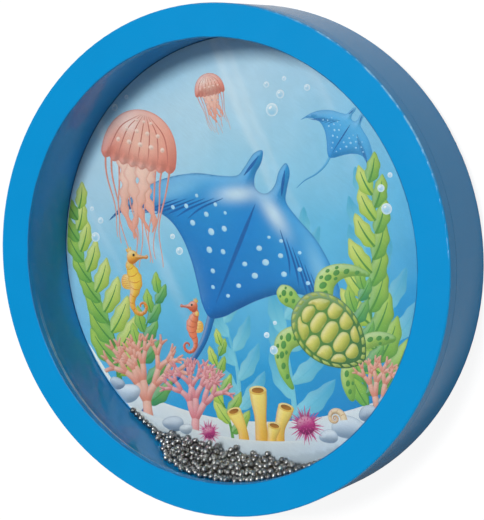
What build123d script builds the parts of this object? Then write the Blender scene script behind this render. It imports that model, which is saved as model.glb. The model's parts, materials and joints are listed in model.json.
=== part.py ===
from build123d import *

import os
from math import atan2, cos, degrees, hypot, pi, radians, sin, sqrt

import numpy as np

# Ocean drum: a shallow wooden drum that lies on its back, with a clear window in front, a printed picture
# at the back of the hollow and a heap of loose steel balls between the two.
# Millimetres. Origin at the middle of the flat back, +Z along the drum's axis, out through the window.
# -Y is the side of the rim that the heap has run to.

# Driving dimensions of the wooden layers
outer_diameter = 200.0
rim_width = 13.2
lip_overhang = 1.7
front_ring_thickness = 6.0
hoop_depth = 25.2
back_thickness = 4.3
front_edge_round = 0.6
opening_edge_round = 0.4
back_edge_round = 3.8
seam_chamfer = 0.12

# Driving dimensions of the window and the picture
window_thickness = 3.0
window_lap = 5.0
window_edge_clearance = 0.2
window_play = 0.1
picture_thickness = 0.3
picture_edge_clearance = 0.3

# Driving dimensions of the balls: 3/32 inch steel, lying nearly touching
ball_diameter = 2.381
ball_gap = 0.08
ball_wall_clearance = 0.2

# The heap's outline on the rim, in degrees from -Y, positive towards +X
heap_left_at_picture = -35.5
heap_right_at_picture = 16.0
heap_left_at_window = -24.0
heap_right_at_window = 17.5
heap_fill = 0.57
heap_lean = 10.0
tail_balls = 7
tail_overlap = 3
heap_groups = 13

# Levels and radii that follow from them
outer_radius = outer_diameter / 2
opening_radius = outer_radius - rim_width
hollow_radius = opening_radius + lip_overhang
hoop_back = back_thickness
hoop_front = hoop_back + hoop_depth
picture_face = back_thickness + picture_thickness
window_radius = opening_radius + window_lap
rebate_radius = window_radius + window_edge_clearance
rebate_depth = window_thickness + window_play
ball_radius = ball_diameter / 2
ball_pitch = ball_diameter + ball_gap

# The space that a ball's centre can reach
centre_far = hollow_radius - ball_radius - ball_wall_clearance
centre_low = picture_face + ball_radius + ball_wall_clearance
centre_high = hoop_front - ball_radius - ball_wall_clearance

# How a ball rolls to rest: in steps that shrink once it can't get lower, down or off to one side
first_step = ball_pitch / 4
last_step = ball_gap / 16
step_shrink = 0.6
sideways_share = 0.5
least_gain = 0.01
neighbourhood = 8 * ball_pitch
rolling_tries = 8
final_tries = 60


def way_down(centre):
    """The direction that a ball settles in: out to the rim below it, and a little towards the picture."""
    x, y, _ = centre
    outwards = np.array([x, y, 0.0]) / hypot(x, y)
    return cos(radians(heap_lean)) * outwards - sin(radians(heap_lean)) * np.array([0.0, 0.0, 1.0])


def in_reach(centre):
    """The nearest place to a ball's centre that is clear of the rim, the picture and the window."""
    x, y, z = centre
    inwards = min(1.0, centre_far / max(hypot(x, y), ball_radius))
    return np.array([x * inwards, y * inwards, min(max(z, centre_low), centre_high)])


def pushed_clear(centre, placed, tries):
    """A ball's centre, pushed off the rim and the balls already placed, and whether it is clear of them."""
    touching = ball_pitch - ball_gap / 4
    for _ in range(tries):
        centre = in_reach(centre)
        if not len(placed):
            return centre, True
        offsets = centre - placed
        squares = np.einsum("ij,ij->i", offsets, offsets)
        nearest = int(squares.argmin())
        if squares[nearest] >= touching**2:
            return centre, True
        apart = max(sqrt(squares[nearest]), ball_gap)
        centre = placed[nearest] + offsets[nearest] * (ball_pitch / apart)
    return in_reach(centre), False


def settled(start, placed):
    """Where a ball comes to rest when it rolls down from start, or None where it finds no room."""
    centre, step = start, first_step
    near = placed[np.abs(placed - start).max(axis=1) < neighbourhood]
    while step > last_step:
        down = way_down(centre)
        across = sideways_share * np.cross(down, [0.0, 0.0, 1.0])
        for heading in (down, down + across, down - across):
            moved, _ = pushed_clear(centre + step * heading, near, rolling_tries)
            if (moved - centre) @ down > least_gain * step:
                centre = moved
                break
        else:
            step *= step_shrink
    centre, clear = pushed_clear(centre, placed, final_tries)
    return centre if clear else None


def under_the_surface(x, y, z):
    """How far a point lies below the heap's surface, which is straight across the drum at each depth."""
    along = (z - centre_low) / (centre_high - centre_low)
    left = radians(heap_left_at_picture + along * (heap_left_at_window - heap_left_at_picture))
    right = radians(heap_right_at_picture + along * (heap_right_at_window - heap_right_at_picture))
    middle, half = (left + right) / 2, (right - left) / 2
    return x * sin(middle) - y * cos(middle) - centre_far * cos(half)


def heap_starts():
    """Points spread evenly under the heap's surface, the deepest first, one for each ball to start from."""
    widest = max(abs(heap_left_at_picture), abs(heap_right_at_picture), abs(heap_right_at_window))
    reach = centre_far * sin(radians(widest))
    top = -centre_far * cos(radians(widest))
    span = np.array([2 * reach, top + centre_far, centre_high - centre_low])
    corner = np.array([-reach, -centre_far, centre_low])
    count = int(heap_fill * span.prod() / (pi / 6 * ball_pitch**3))
    # the plastic ratio of three dimensions, whose powers spread points evenly in a box
    ratio = 1.2207440846057596
    strides = np.array([ratio**-1, ratio**-2, ratio**-3])
    points = [corner + span * ((number * strides) % 1.0) for number in range(1, count + 1)]
    inside = [
        point
        for point in points
        if hypot(point[0], point[1]) <= centre_far and under_the_surface(*point) >= 0
    ]
    return sorted(inside, key=lambda point: hypot(point[0], point[1]), reverse=True)


def tail_starts():
    """Points for the short row of balls that trails up the corner between the rim and the picture."""
    spacing = ball_pitch / centre_far
    first = radians(heap_left_at_picture) + tail_overlap * spacing
    angles = [first - number * spacing for number in range(tail_balls)]
    return [np.array([centre_far * sin(a), -centre_far * cos(a), centre_low]) for a in angles]


def heap_centres():
    """The centres of all the balls, each settled on those before it."""
    placed = np.empty((0, 3))
    lifted = [point - ball_pitch * way_down(point) for point in heap_starts()]
    for start in lifted + tail_starts():
        centre = settled(in_reach(start), placed)
        if centre is not None:
            placed = np.vstack([placed, centre])
    return placed


def heap_sectors():
    """The ball centres in groups of nearly equal number, from left to right along the rim."""
    centres = heap_centres()
    angles = [degrees(atan2(x, -y)) for x, y, _ in centres]
    return np.array_split(centres[np.argsort(angles)], heap_groups)


os.makedirs("parts", exist_ok=True)

# Back panel: a disc, rounded behind, that the hoop and the picture are glued to
with BuildPart() as back_panel:
    with BuildSketch():
        Circle(outer_radius)
    extrude(amount=back_thickness)
    rear_edge = back_panel.edges().sort_by(Axis.Z)[0]
    fillet(rear_edge, radius=min(back_edge_round, back_thickness - 2 * seam_chamfer))
    front_edge = back_panel.edges().filter_by(GeomType.CIRCLE).sort_by(Axis.Z)[-1]
    chamfer(front_edge, length=seam_chamfer)
back_panel.part.label = "back_panel"
export_step(back_panel.part, "parts/back_panel.step")

# Picture sheet: printed card glued to the front of the back panel, inside the hoop
with BuildPart() as picture_sheet:
    with BuildSketch(Plane.XY.offset(back_thickness)):
        Circle(hollow_radius - picture_edge_clearance)
    extrude(amount=picture_thickness)
picture_sheet.part.label = "picture_sheet"
export_step(picture_sheet.part, "parts/picture_sheet.step")

# Hoop: the deep wooden wall that the balls run round in
with BuildPart() as hoop:
    with BuildSketch(Plane.XY.offset(hoop_back)):
        Circle(outer_radius)
        Circle(hollow_radius, mode=Mode.SUBTRACT)
    extrude(amount=hoop_depth)
    outer_edges = hoop.edges().filter_by(GeomType.CIRCLE).group_by(SortBy.RADIUS)[-1]
    chamfer(outer_edges, length=seam_chamfer)
hoop.part.label = "hoop"
export_step(hoop.part, "parts/hoop.step")

# Window: a clear disc held between the hoop and the front ring
with BuildPart() as window:
    with BuildSketch(Plane.XY.offset(hoop_front)):
        Circle(window_radius)
    extrude(amount=window_thickness)
window.part.label = "window"
export_step(window.part, "parts/window.step")

# Front ring: the wide flat face, rebated behind for the window
with BuildPart() as front_ring:
    with BuildSketch(Plane.XY.offset(hoop_front)):
        Circle(outer_radius)
        Circle(opening_radius, mode=Mode.SUBTRACT)
    extrude(amount=front_ring_thickness)
    with BuildSketch(Plane.XY.offset(hoop_front)):
        Circle(rebate_radius)
    extrude(amount=rebate_depth, mode=Mode.SUBTRACT)
    face_edges = front_ring.edges().filter_by(GeomType.CIRCLE).group_by(Axis.Z)[-1].sort_by(SortBy.RADIUS)
    fillet(face_edges[-1], radius=min(front_edge_round, (front_ring_thickness - rebate_depth) / 2))
    opening_edge = front_ring.edges().filter_by(GeomType.CIRCLE).group_by(Axis.Z)[-1].sort_by(SortBy.RADIUS)[0]
    fillet(opening_edge, radius=min(opening_edge_round, (front_ring_thickness - rebate_depth) / 2))
    glued_edge = front_ring.edges().filter_by(GeomType.CIRCLE).group_by(Axis.Z)[0].sort_by(SortBy.RADIUS)[-1]
    chamfer(glued_edge, length=seam_chamfer)
front_ring.part.label = "front_ring"
export_step(front_ring.part, "parts/front_ring.step")

# Steel balls: one node for each group of the heap that runs round the rim by itself
for number, centres in enumerate(heap_sectors(), start=1):
    with BuildPart() as steel_balls:
        with Locations(*[tuple(centre) for centre in centres.tolist()]):
            Sphere(ball_radius)
    steel_balls.part.label = f"steel_balls_{number:02d}"
    export_step(steel_balls.part, f"parts/steel_balls_{number:02d}.step")
    print(f"steel_balls_{number:02d}: {len(centres)} balls")
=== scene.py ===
"""Looks of an ocean drum: lacquered wood, a clear window, a painted sea picture and loose steel balls."""

from __future__ import annotations

import json
import logging
import math
import random
from dataclasses import dataclass, replace
from enum import Enum
from typing import Any, Callable, Sequence

import bpy
import numpy as np
from bpy.types import Material, Node, NodeTree
from mathutils import Matrix, Vector
from mathutils.geometry import delaunay_2d_cdt

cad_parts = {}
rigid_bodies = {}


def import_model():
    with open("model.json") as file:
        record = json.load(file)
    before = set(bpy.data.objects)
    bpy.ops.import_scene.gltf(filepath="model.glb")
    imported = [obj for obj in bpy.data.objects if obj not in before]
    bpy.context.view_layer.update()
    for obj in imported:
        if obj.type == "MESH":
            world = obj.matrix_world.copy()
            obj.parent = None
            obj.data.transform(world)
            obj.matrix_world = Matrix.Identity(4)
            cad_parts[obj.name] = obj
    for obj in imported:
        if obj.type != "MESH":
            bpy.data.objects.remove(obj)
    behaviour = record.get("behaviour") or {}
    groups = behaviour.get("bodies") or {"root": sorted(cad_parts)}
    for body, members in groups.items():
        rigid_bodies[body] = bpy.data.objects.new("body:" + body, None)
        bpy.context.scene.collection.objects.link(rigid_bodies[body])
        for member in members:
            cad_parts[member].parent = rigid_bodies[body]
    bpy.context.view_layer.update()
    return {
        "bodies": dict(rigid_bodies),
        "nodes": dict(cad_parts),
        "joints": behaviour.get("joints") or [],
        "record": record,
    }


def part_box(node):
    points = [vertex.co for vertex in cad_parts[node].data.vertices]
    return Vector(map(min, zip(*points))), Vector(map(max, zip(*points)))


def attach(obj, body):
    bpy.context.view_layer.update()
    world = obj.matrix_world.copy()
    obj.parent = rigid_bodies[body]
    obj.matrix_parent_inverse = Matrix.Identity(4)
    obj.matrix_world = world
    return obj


LOG = logging.getLogger("ocean_drum")
MM = 0.001
TINY = 1e-9
TOUCHING = 1e-6

Socket = bpy.types.NodeSocket
Points = np.ndarray
Face = tuple[int, ...]
Pair = tuple[float, float]
Triple = tuple[float, float, float]


# Colours and plain helpers


def linear(code: str) -> np.ndarray:
    """Turn a hex colour into linear light.

    Args:
        code: the colour as a hash and six hex figures.

    Returns:
        Its red, green and blue in linear light.
    """
    raw = np.array([int(code[place : place + 2], 16) for place in (1, 3, 5)]) / 255
    return np.where(raw <= 0.04045, raw / 12.92, ((raw + 0.055) / 1.055) ** 2.4)


def rgba(code: str) -> tuple[float, float, float, float]:
    """Give a hex colour as the four linear values that a colour socket takes."""
    red, green, blue = (float(value) for value in linear(code))
    return red, green, blue, 1.0


def smooth(share: np.ndarray) -> np.ndarray:
    """Ease a share from 0 to 1, flat at both ends."""
    return share * share * (3 - 2 * share)


def unit(angle: float) -> np.ndarray:
    """Give the unit vector at an angle in degrees."""
    return np.array([math.cos(math.radians(angle)), math.sin(math.radians(angle))])


# Shader nodes


class Graph:
    """A node tree, with short calls that add nodes and join them."""

    def __init__(self, tree: NodeTree) -> None:
        """Keep the tree that the nodes go into."""
        self.tree = tree

    @classmethod
    def afresh(cls, owner: Any) -> Graph:
        """Start on the nodes of a material or a world, with none in it.

        Args:
            owner: the material or the world.

        Returns:
            The graph of its nodes.
        """
        owner.use_nodes = True
        owner.node_tree.nodes.clear()
        return cls(owner.node_tree)

    def node(self, kind: str, **settings: Any) -> Node:
        """Add a node.

        Args:
            kind: the node's Blender type.
            settings: properties to set on it.

        Returns:
            The new node.
        """
        made = self.tree.nodes.new(kind)
        for name, value in settings.items():
            setattr(made, name, value)
        return made

    def feed(self, socket: Socket, value: Any) -> None:
        """Link a socket to another one, or set its plain value.

        Args:
            socket: the socket that is fed.
            value: a socket, a plain value, or None to leave it alone.
        """
        if isinstance(value, Socket):
            self.tree.links.new(value, socket)
        elif value is not None:
            socket.default_value = value

    def wired(self, kind: str, *values: Any, **settings: Any) -> Node:
        """Add a node and feed its inputs in their order.

        Args:
            kind: the node's Blender type.
            values: its inputs, sockets or plain values, with None for one that is left alone.
            settings: properties to set on it.

        Returns:
            The new node.
        """
        made = self.node(kind, **settings)
        for socket, value in zip(made.inputs, values):
            self.feed(socket, value)
        return made

    def named(self, kind: str, inputs: dict[str, Any], **settings: Any) -> Node:
        """Add a node and feed its inputs by their names.

        Args:
            kind: the node's Blender type.
            inputs: sockets or plain values, by the names of the inputs that take them.
            settings: properties to set on it.

        Returns:
            The new node.
        """
        made = self.node(kind, **settings)
        for name, value in inputs.items():
            self.feed(made.inputs[name], value)
        return made

    def math(self, operation: str, *values: Any) -> Socket:
        """Add a math node and return the socket of its result."""
        return self.wired("ShaderNodeMath", *values, operation=operation).outputs[0]

    def vector(self, operation: str, first: Any, second: Any = None, scale: Any = None) -> Socket:
        """Add a vector math node and return the socket of the vector that it makes."""
        return self.wired("ShaderNodeVectorMath", first, second, None, scale, operation=operation).outputs[0]

    def turned(self, vector: Any, angle: float) -> Socket:
        """Turn a vector about the drum's axis by an angle in radians and return its socket."""
        inputs = {"Vector": vector, "Angle": angle}
        return self.named("ShaderNodeVectorRotate", inputs, rotation_type="Z_AXIS").outputs[0]

    def mix(self, share: Any, first: Any, second: Any) -> Socket:
        """Mix two colours by a share and return the socket of the result."""
        left_alone = (None,) * 5
        return self.wired("ShaderNodeMix", share, *left_alone, first, second, data_type="RGBA").outputs[2]

    def blend(self, share: Any, first: Socket, second: Socket) -> Socket:
        """Mix two shaders by a share and return the socket of the result."""
        return self.wired("ShaderNodeMixShader", share, first, second).outputs[0]

    def noise(self, vector: Any, scale: Any, detail: float) -> Socket:
        """Add a noise texture and return the socket of its value, about 0.5 on average."""
        inputs = {"Vector": vector, "Scale": scale, "Detail": detail}
        return self.named("ShaderNodeTexNoise", inputs).outputs[0]

    def drift(self, vector: Any, scale: Any, detail: float) -> Socket:
        """Add a noise texture and return the socket of its value, about 0 on average."""
        return self.math("SUBTRACT", self.noise(vector, scale, detail), 0.5)

    def step(self, value: Any, low: Any, high: Any, first: Any = 0.0, last: Any = 1.0) -> Socket:
        """Go smoothly from first to last as a value goes from low to high, and return the result's socket."""
        given = (value, low, high, first, last)
        return self.wired("ShaderNodeMapRange", *given, interpolation_type="SMOOTHSTEP").outputs[0]

    def split(self, vector: Any) -> Sequence[Socket]:
        """Split a vector and return the sockets of its three parts."""
        return self.wired("ShaderNodeSeparateXYZ", vector).outputs

    def place(self) -> Socket:
        """Return the socket of a point's place in the drum's frame."""
        return self.node("ShaderNodeTexCoord").outputs["Object"]

    def bump(self, height: Any, strength: float, distance: float) -> Socket:
        """Add a bump node and return the socket of its normal."""
        inputs = {"Height": height, "Strength": strength, "Distance": distance}
        return self.named("ShaderNodeBump", inputs).outputs[0]

    def surface(self, shader: Socket, kind: str = "ShaderNodeOutputMaterial") -> None:
        """Join a shader to the output of the material, or of the world where its kind is given."""
        found = [node for node in self.tree.nodes if node.bl_idname == kind]
        self.feed((found[0] if found else self.node(kind)).inputs["Surface"], shader)


class Effect(Enum):
    """The surface effects that several materials share."""

    MOTTLE = "coat_mottle"
    PEEL = "sprayed_peel"
    RING = "ring_mask"
    ARC = "arc_mask"
    SCUFFS = "fine_scuffs"
    TOOTH = "card_tooth"
    BRUSH = "brushed_pigment"


class EffectShelf:
    """The shared effects, each a node group that is built when it is first placed."""

    def __init__(self) -> None:
        """Start with none built."""
        self._trees: dict[Effect, NodeTree] = {}
        self._builders: dict[Effect, Callable[[], NodeTree]] = {
            Effect.MOTTLE: self._mottle,
            Effect.PEEL: self._peel,
            Effect.RING: self._ring,
            Effect.ARC: self._arc,
            Effect.SCUFFS: self._scuffs,
            Effect.TOOTH: self._tooth,
            Effect.BRUSH: self._brush,
        }

    def place(self, graph: Graph, effect: Effect, **values: Any) -> Socket:
        """Place an effect in a material.

        Args:
            graph: the material's nodes.
            effect: which effect.
            values: what goes into its inputs, by their names.

        Returns:
            The socket of what it puts out.
        """
        if effect not in self._trees:
            self._trees[effect] = self._builders[effect]()
        return graph.named("ShaderNodeGroup", values, node_tree=self._trees[effect]).outputs[0]

    @staticmethod
    def _start(effect: Effect, result: str, *numbers: str, colour: bool = False) -> tuple[Graph, Any, Any]:
        """Start a group with a Vector input.

        Args:
            effect: the effect that it makes.
            result: the name of what it puts out.
            numbers: the names of its number inputs.
            colour: whether it takes and gives a colour.

        Returns:
            Its graph, its inputs and the socket that takes the result.
        """
        tree = bpy.data.node_groups.new(effect.value, "ShaderNodeTree")
        tree.interface.new_socket(name="Vector", in_out="INPUT", socket_type="NodeSocketVector")
        if colour:
            tree.interface.new_socket(name="Color", in_out="INPUT", socket_type="NodeSocketColor")
        for name in numbers:
            tree.interface.new_socket(name=name, in_out="INPUT", socket_type="NodeSocketFloat")
        kind = "NodeSocketColor" if colour else "NodeSocketFloat"
        tree.interface.new_socket(name=result, in_out="OUTPUT", socket_type=kind)
        graph = Graph(tree)
        return graph, graph.node("NodeGroupInput").outputs, graph.node("NodeGroupOutput").inputs[0]

    def _mottle(self) -> NodeTree:
        """Build the slow unevenness of a coat: a factor about 1.

        Returns:
            The group's node tree.
        """
        graph, given, result = self._start(Effect.MOTTLE, "Shade", "Scale", "Amount")
        cloud = graph.drift(given["Vector"], given["Scale"], detail=4.0)
        twice = graph.math("MULTIPLY", given["Amount"], 2.0)
        graph.feed(result, graph.math("MULTIPLY_ADD", cloud, twice, 1.0))
        return graph.tree

    def _peel(self) -> NodeTree:
        """Build the fine ripple of a sprayed coat: a height.

        Returns:
            The group's node tree.
        """
        finer_by, finer_share = 3.7, 0.35
        graph, given, result = self._start(Effect.PEEL, "Height", "Scale")
        finer = graph.noise(given["Vector"], graph.math("MULTIPLY", given["Scale"], finer_by), detail=1.0)
        ripple = graph.noise(given["Vector"], given["Scale"], detail=1.0)
        graph.feed(result, graph.math("ADD", ripple, graph.math("MULTIPLY", finer, finer_share)))
        return graph.tree

    def _ring(self) -> NodeTree:
        """Build a mask round a circle of the drum, such as an edge or a seam, broken up a little.

        Returns:
            The group's node tree.
        """
        break_scale, break_share, solid_part = 160.0, 1.6, 0.25
        graph, given, result = self._start(Effect.RING, "Mask", "Radius", "Level", "Reach")

        def length(first: Socket, second: Socket) -> Socket:
            """Give the length of a line by its two legs."""
            squares = [graph.math("POWER", leg, 2.0) for leg in (first, second)]
            return graph.math("SQRT", graph.math("ADD", *squares))

        across, along, up = graph.split(given["Vector"])
        off = graph.math("SUBTRACT", length(across, along), given["Radius"])
        rise = graph.math("SUBTRACT", up, given["Level"])
        gap = graph.math("DIVIDE", length(off, rise), given["Reach"])
        broken = graph.drift(given["Vector"], break_scale, detail=4.0)
        graph.feed(result, graph.step(graph.math("MULTIPLY_ADD", broken, break_share, gap), 1.0, solid_part))
        return graph.tree

    def _arc(self) -> NodeTree:
        """Build a mask of the side of the drum that lies towards an angle, soft at both ends.

        Returns:
            The group's node tree.
        """
        solid_part = 0.35
        graph, given, result = self._start(Effect.ARC, "Mask", "Angle", "Reach")
        across, along, _ = graph.split(given["Vector"])
        turn = graph.math("SUBTRACT", graph.math("ARCTAN2", along, across), given["Angle"])
        away = graph.math("ABSOLUTE", graph.math("WRAP", turn, math.pi, -math.pi))
        graph.feed(result, graph.step(graph.math("DIVIDE", away, given["Reach"]), 1.0, solid_part))
        return graph.tree

    def _scuffs(self) -> NodeTree:
        """Build fine wiping marks: a shift of the roughness about 0.

        Returns:
            The group's node tree.
        """
        stretch, patch_scale = (1.0, 7.0, 3.0), 0.3
        graph, given, result = self._start(Effect.SCUFFS, "Shift", "Scale", "Amount")
        drawn = graph.vector("MULTIPLY", given["Vector"], stretch)
        marks = graph.noise(drawn, given["Scale"], detail=5.0)
        wider = graph.math("MULTIPLY", given["Scale"], patch_scale)
        patches = graph.noise(given["Vector"], wider, detail=2.0)
        both = graph.math("SUBTRACT", graph.math("ADD", marks, patches), 1.0)
        graph.feed(result, graph.math("MULTIPLY", both, given["Amount"]))
        return graph.tree

    def _tooth(self) -> NodeTree:
        """Build the tooth of painted card: a height.

        Returns:
            The group's node tree.
        """
        graph, given, result = self._start(Effect.TOOTH, "Height", "Scale")
        graph.feed(result, graph.noise(given["Vector"], given["Scale"], detail=3.0))
        return graph.tree

    def _brush(self) -> NodeTree:
        """Build the unevenness of brushed pigment: bristle lines and slow blooms over a colour.

        Returns:
            The group's node tree.
        """
        slant, stretch, bloom_scale = 0.6, (1.0, 5.0, 1.0), 0.35
        graph, given, result = self._start(Effect.BRUSH, "Color", "Scale", "Amount", colour=True)
        drawn = graph.vector("MULTIPLY", graph.turned(given["Vector"], slant), stretch)
        bristles = graph.noise(drawn, given["Scale"], detail=4.0)
        blooms = graph.noise(given["Vector"], graph.math("MULTIPLY", given["Scale"], bloom_scale), detail=3.0)
        both = graph.math("SUBTRACT", graph.math("ADD", bristles, blooms), 1.0)
        shade = graph.math("MULTIPLY_ADD", both, given["Amount"], 1.0)
        graph.feed(result, graph.vector("SCALE", given["Color"], scale=shade))
        return graph.tree


# Finishes


class Bench:
    """A material in the making: its nodes, its shader and the shared effects at hand."""

    def __init__(self, name: str, shelf: EffectShelf) -> None:
        """Start a material with a Principled shader.

        Args:
            name: the material's name.
            shelf: the shared effects.
        """
        self.material = bpy.data.materials.new(name)
        self.graph = Graph.afresh(self.material)
        self.shader = self.graph.node("ShaderNodeBsdfPrincipled")
        self.graph.surface(self.shader.outputs[0])
        self.shelf = shelf
        self.place = self.graph.place()

    def effect(self, effect: Effect, **values: Any) -> Socket:
        """Place a shared effect over the drum and return the socket of what it puts out."""
        return self.shelf.place(self.graph, effect, Vector=self.place, **values)

    def feed(self, name: str, value: Any) -> None:
        """Join a socket to an input of the shader, or set that input's plain value."""
        self.graph.feed(self.shader.inputs[name], value)

    def scuffed(self, roughness: float, scale: float, amount: float) -> Socket:
        """Vary a roughness with fine wiping marks and return its socket."""
        return self.graph.math("ADD", self.effect(Effect.SCUFFS, Scale=scale, Amount=amount), roughness)


class Finish:
    """A finish, which is made into a material for each piece that takes it."""

    def make(self, name: str, shelf: EffectShelf) -> Material:
        """Make the finish.

        Args:
            name: the material's name.
            shelf: the shared effects.

        Returns:
            The material.
        """
        bench = Bench(name, shelf)
        self.lay(bench)
        return bench.material

    def lay(self, bench: Bench) -> None:
        """Lay the finish onto a material's nodes."""
        raise NotImplementedError


class WearAndLightKind(Enum):
    """The marks along an edge or a seam, with the colour that each leaves: worn paint, dust, painted
    highlight lines and painted shade.
    """

    # lighter edge line: worn paint, and a painted highlight where the light catches the edge
    RUBBED_HIGHLIGHT = "#a4d4ec"
    # dark line: dust along the seams, and painted shade on the opening's edge
    DUST_AND_SHADE = "#06507f"
    # pale line: a painted highlight along the window's edges
    EDGE_GLINT = "#c2e1ee"
    # painted shade in the corner between the hoop's wall and the card
    CORNER_SHADE = "#05263c"


@dataclass(frozen=True)
class RingWearAndLight:
    """A mark along one circle of the drum, in metres, or along an arc of it: worn paint, dust, a painted
    highlight line or painted shade, by its kind.

    The arc is given by its middle and its reach to either side, in degrees.
    """

    radius: float
    level: float
    reach: float
    kind: WearAndLightKind
    share: float
    arc: Pair | None = None

    def mask(self, bench: Bench) -> Socket:
        """Say where the mark lies on a material, and how much.

        Args:
            bench: the material in the making.

        Returns:
            The socket of the mask.
        """
        ring = bench.effect(Effect.RING, Radius=self.radius, Level=self.level, Reach=self.reach)
        ring = bench.graph.math("MULTIPLY", ring, self.share)
        if self.arc is None:
            return ring
        middle, reach = (math.radians(angle) for angle in self.arc)
        return bench.graph.math("MULTIPLY", ring, bench.effect(Effect.ARC, Angle=middle, Reach=reach))


@dataclass(frozen=True)
class Lacquer(Finish):
    """Sprayed blue lacquer on smooth wood, with worn paint, dust, painted highlight lines and painted shade
    along some circles of the drum.
    """

    colour: str = "#0091d2"
    roughness: float = 0.24
    gloss: float = 0.3
    mottle: float = 0.035
    mottle_scale: float = 55.0
    peel_scale: float = 900.0
    peel_strength: float = 0.35
    peel_depth: float = 0.06 * MM
    scuffs: float = 0.05
    scuff_scale: float = 210.0
    worn_roughness: float = 0.25
    wear_and_light: tuple[RingWearAndLight, ...] = ()

    def lay(self, bench: Bench) -> None:
        """Lay the coat with its mottle and ripple, then the marks along its circles, painted highlight and
        painted shade among them.

        Args:
            bench: the material in the making.
        """
        graph = bench.graph
        shade = bench.effect(Effect.MOTTLE, Scale=self.mottle_scale, Amount=self.mottle)
        colour = graph.vector("SCALE", rgba(self.colour)[:3], scale=shade)
        rough = bench.scuffed(self.roughness, self.scuff_scale, self.scuffs)
        for ring in self.wear_and_light:
            mask = ring.mask(bench)
            colour = graph.mix(mask, colour, rgba(ring.kind.value))
            rough = graph.math("MULTIPLY_ADD", mask, self.worn_roughness, rough)
        bench.feed("Base Color", colour)
        bench.feed("Roughness", rough)
        bench.feed("Specular IOR Level", self.gloss)
        height = bench.effect(Effect.PEEL, Scale=self.peel_scale)
        bench.feed("Normal", graph.bump(height, self.peel_strength, self.peel_depth))


@dataclass(frozen=True)
class ClearSheet(Finish):
    """The clear plastic of the window, with faint wiping marks, which lets light straight through."""

    tint: str = "#fbfeff"
    roughness: float = 0.025
    index: float = 1.49
    scuffs: float = 0.03
    scuff_scale: float = 70.0
    let_through: Triple = (0.94, 0.95, 0.95)

    def lay(self, bench: Bench) -> None:
        """Lay the clear sheet, plainly clear to shadows and to light that comes off paint.

        Args:
            bench: the material in the making.
        """
        graph = bench.graph
        bench.feed("Roughness", bench.scuffed(self.roughness, self.scuff_scale, self.scuffs))
        bench.feed("Base Color", rgba(self.tint))
        bench.feed("Transmission Weight", 1.0)
        bench.feed("IOR", self.index)
        rays = graph.node("ShaderNodeLightPath").outputs
        straight = graph.math("MAXIMUM", rays["Is Shadow Ray"], rays["Is Diffuse Ray"])
        through = graph.wired("ShaderNodeBsdfTransparent", self.let_through + (1.0,)).outputs[0]
        graph.surface(graph.blend(straight, bench.shader.outputs[0], through))


@dataclass(frozen=True)
class BallSteel(Finish):
    """Bright hardened steel, a little different from ball to ball."""

    bright: str = "#aba8a4"
    dull: str = "#8c8986"
    roughness: float = 0.33
    ball_scale: float = 330.0
    ball_range: Pair = (0.75, 1.25)
    scuffs: float = 0.08
    scuff_scale: float = 900.0

    def lay(self, bench: Bench) -> None:
        """Lay the steel, bright on some balls and dull on others.

        Args:
            bench: the material in the making.
        """
        shade = bench.effect(Effect.MOTTLE, Scale=self.ball_scale, Amount=1.0)
        share = bench.graph.step(shade, *self.ball_range)
        bench.feed("Base Color", bench.graph.mix(share, rgba(self.dull), rgba(self.bright)))
        bench.feed("Metallic", 1.0)
        bench.feed("Roughness", bench.scuffed(self.roughness, self.scuff_scale, self.scuffs))


@dataclass(frozen=True)
class PaintedCard(Finish):
    """What the painted pictures share: brushed pigment on toothed card under a thin seal."""

    roughness: float = 0.5
    gloss: float = 0.3
    tooth_scale: float = 1500.0
    tooth_strength: float = 0.3
    tooth_depth: float = 0.12 * MM
    brush_scale: float = 260.0
    brush_amount: float = 0.16
    scuffs: float = 0.12
    scuff_scale: float = 300.0

    def colour(self, bench: Bench) -> Socket:
        """Give the socket of the flat colour that is brushed on."""
        raise NotImplementedError

    def lay(self, bench: Bench) -> None:
        """Brush the colour onto the card.

        Args:
            bench: the material in the making.
        """
        colour = self.colour(bench)
        brushed = bench.effect(Effect.BRUSH, Color=colour, Scale=self.brush_scale, Amount=self.brush_amount)
        bench.feed("Base Color", brushed)
        bench.feed("Roughness", bench.scuffed(self.roughness, self.scuff_scale, self.scuffs))
        bench.feed("Specular IOR Level", self.gloss)
        height = bench.effect(Effect.TOOTH, Scale=self.tooth_scale)
        bench.feed("Normal", bench.graph.bump(height, self.tooth_strength, self.tooth_depth))


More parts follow.
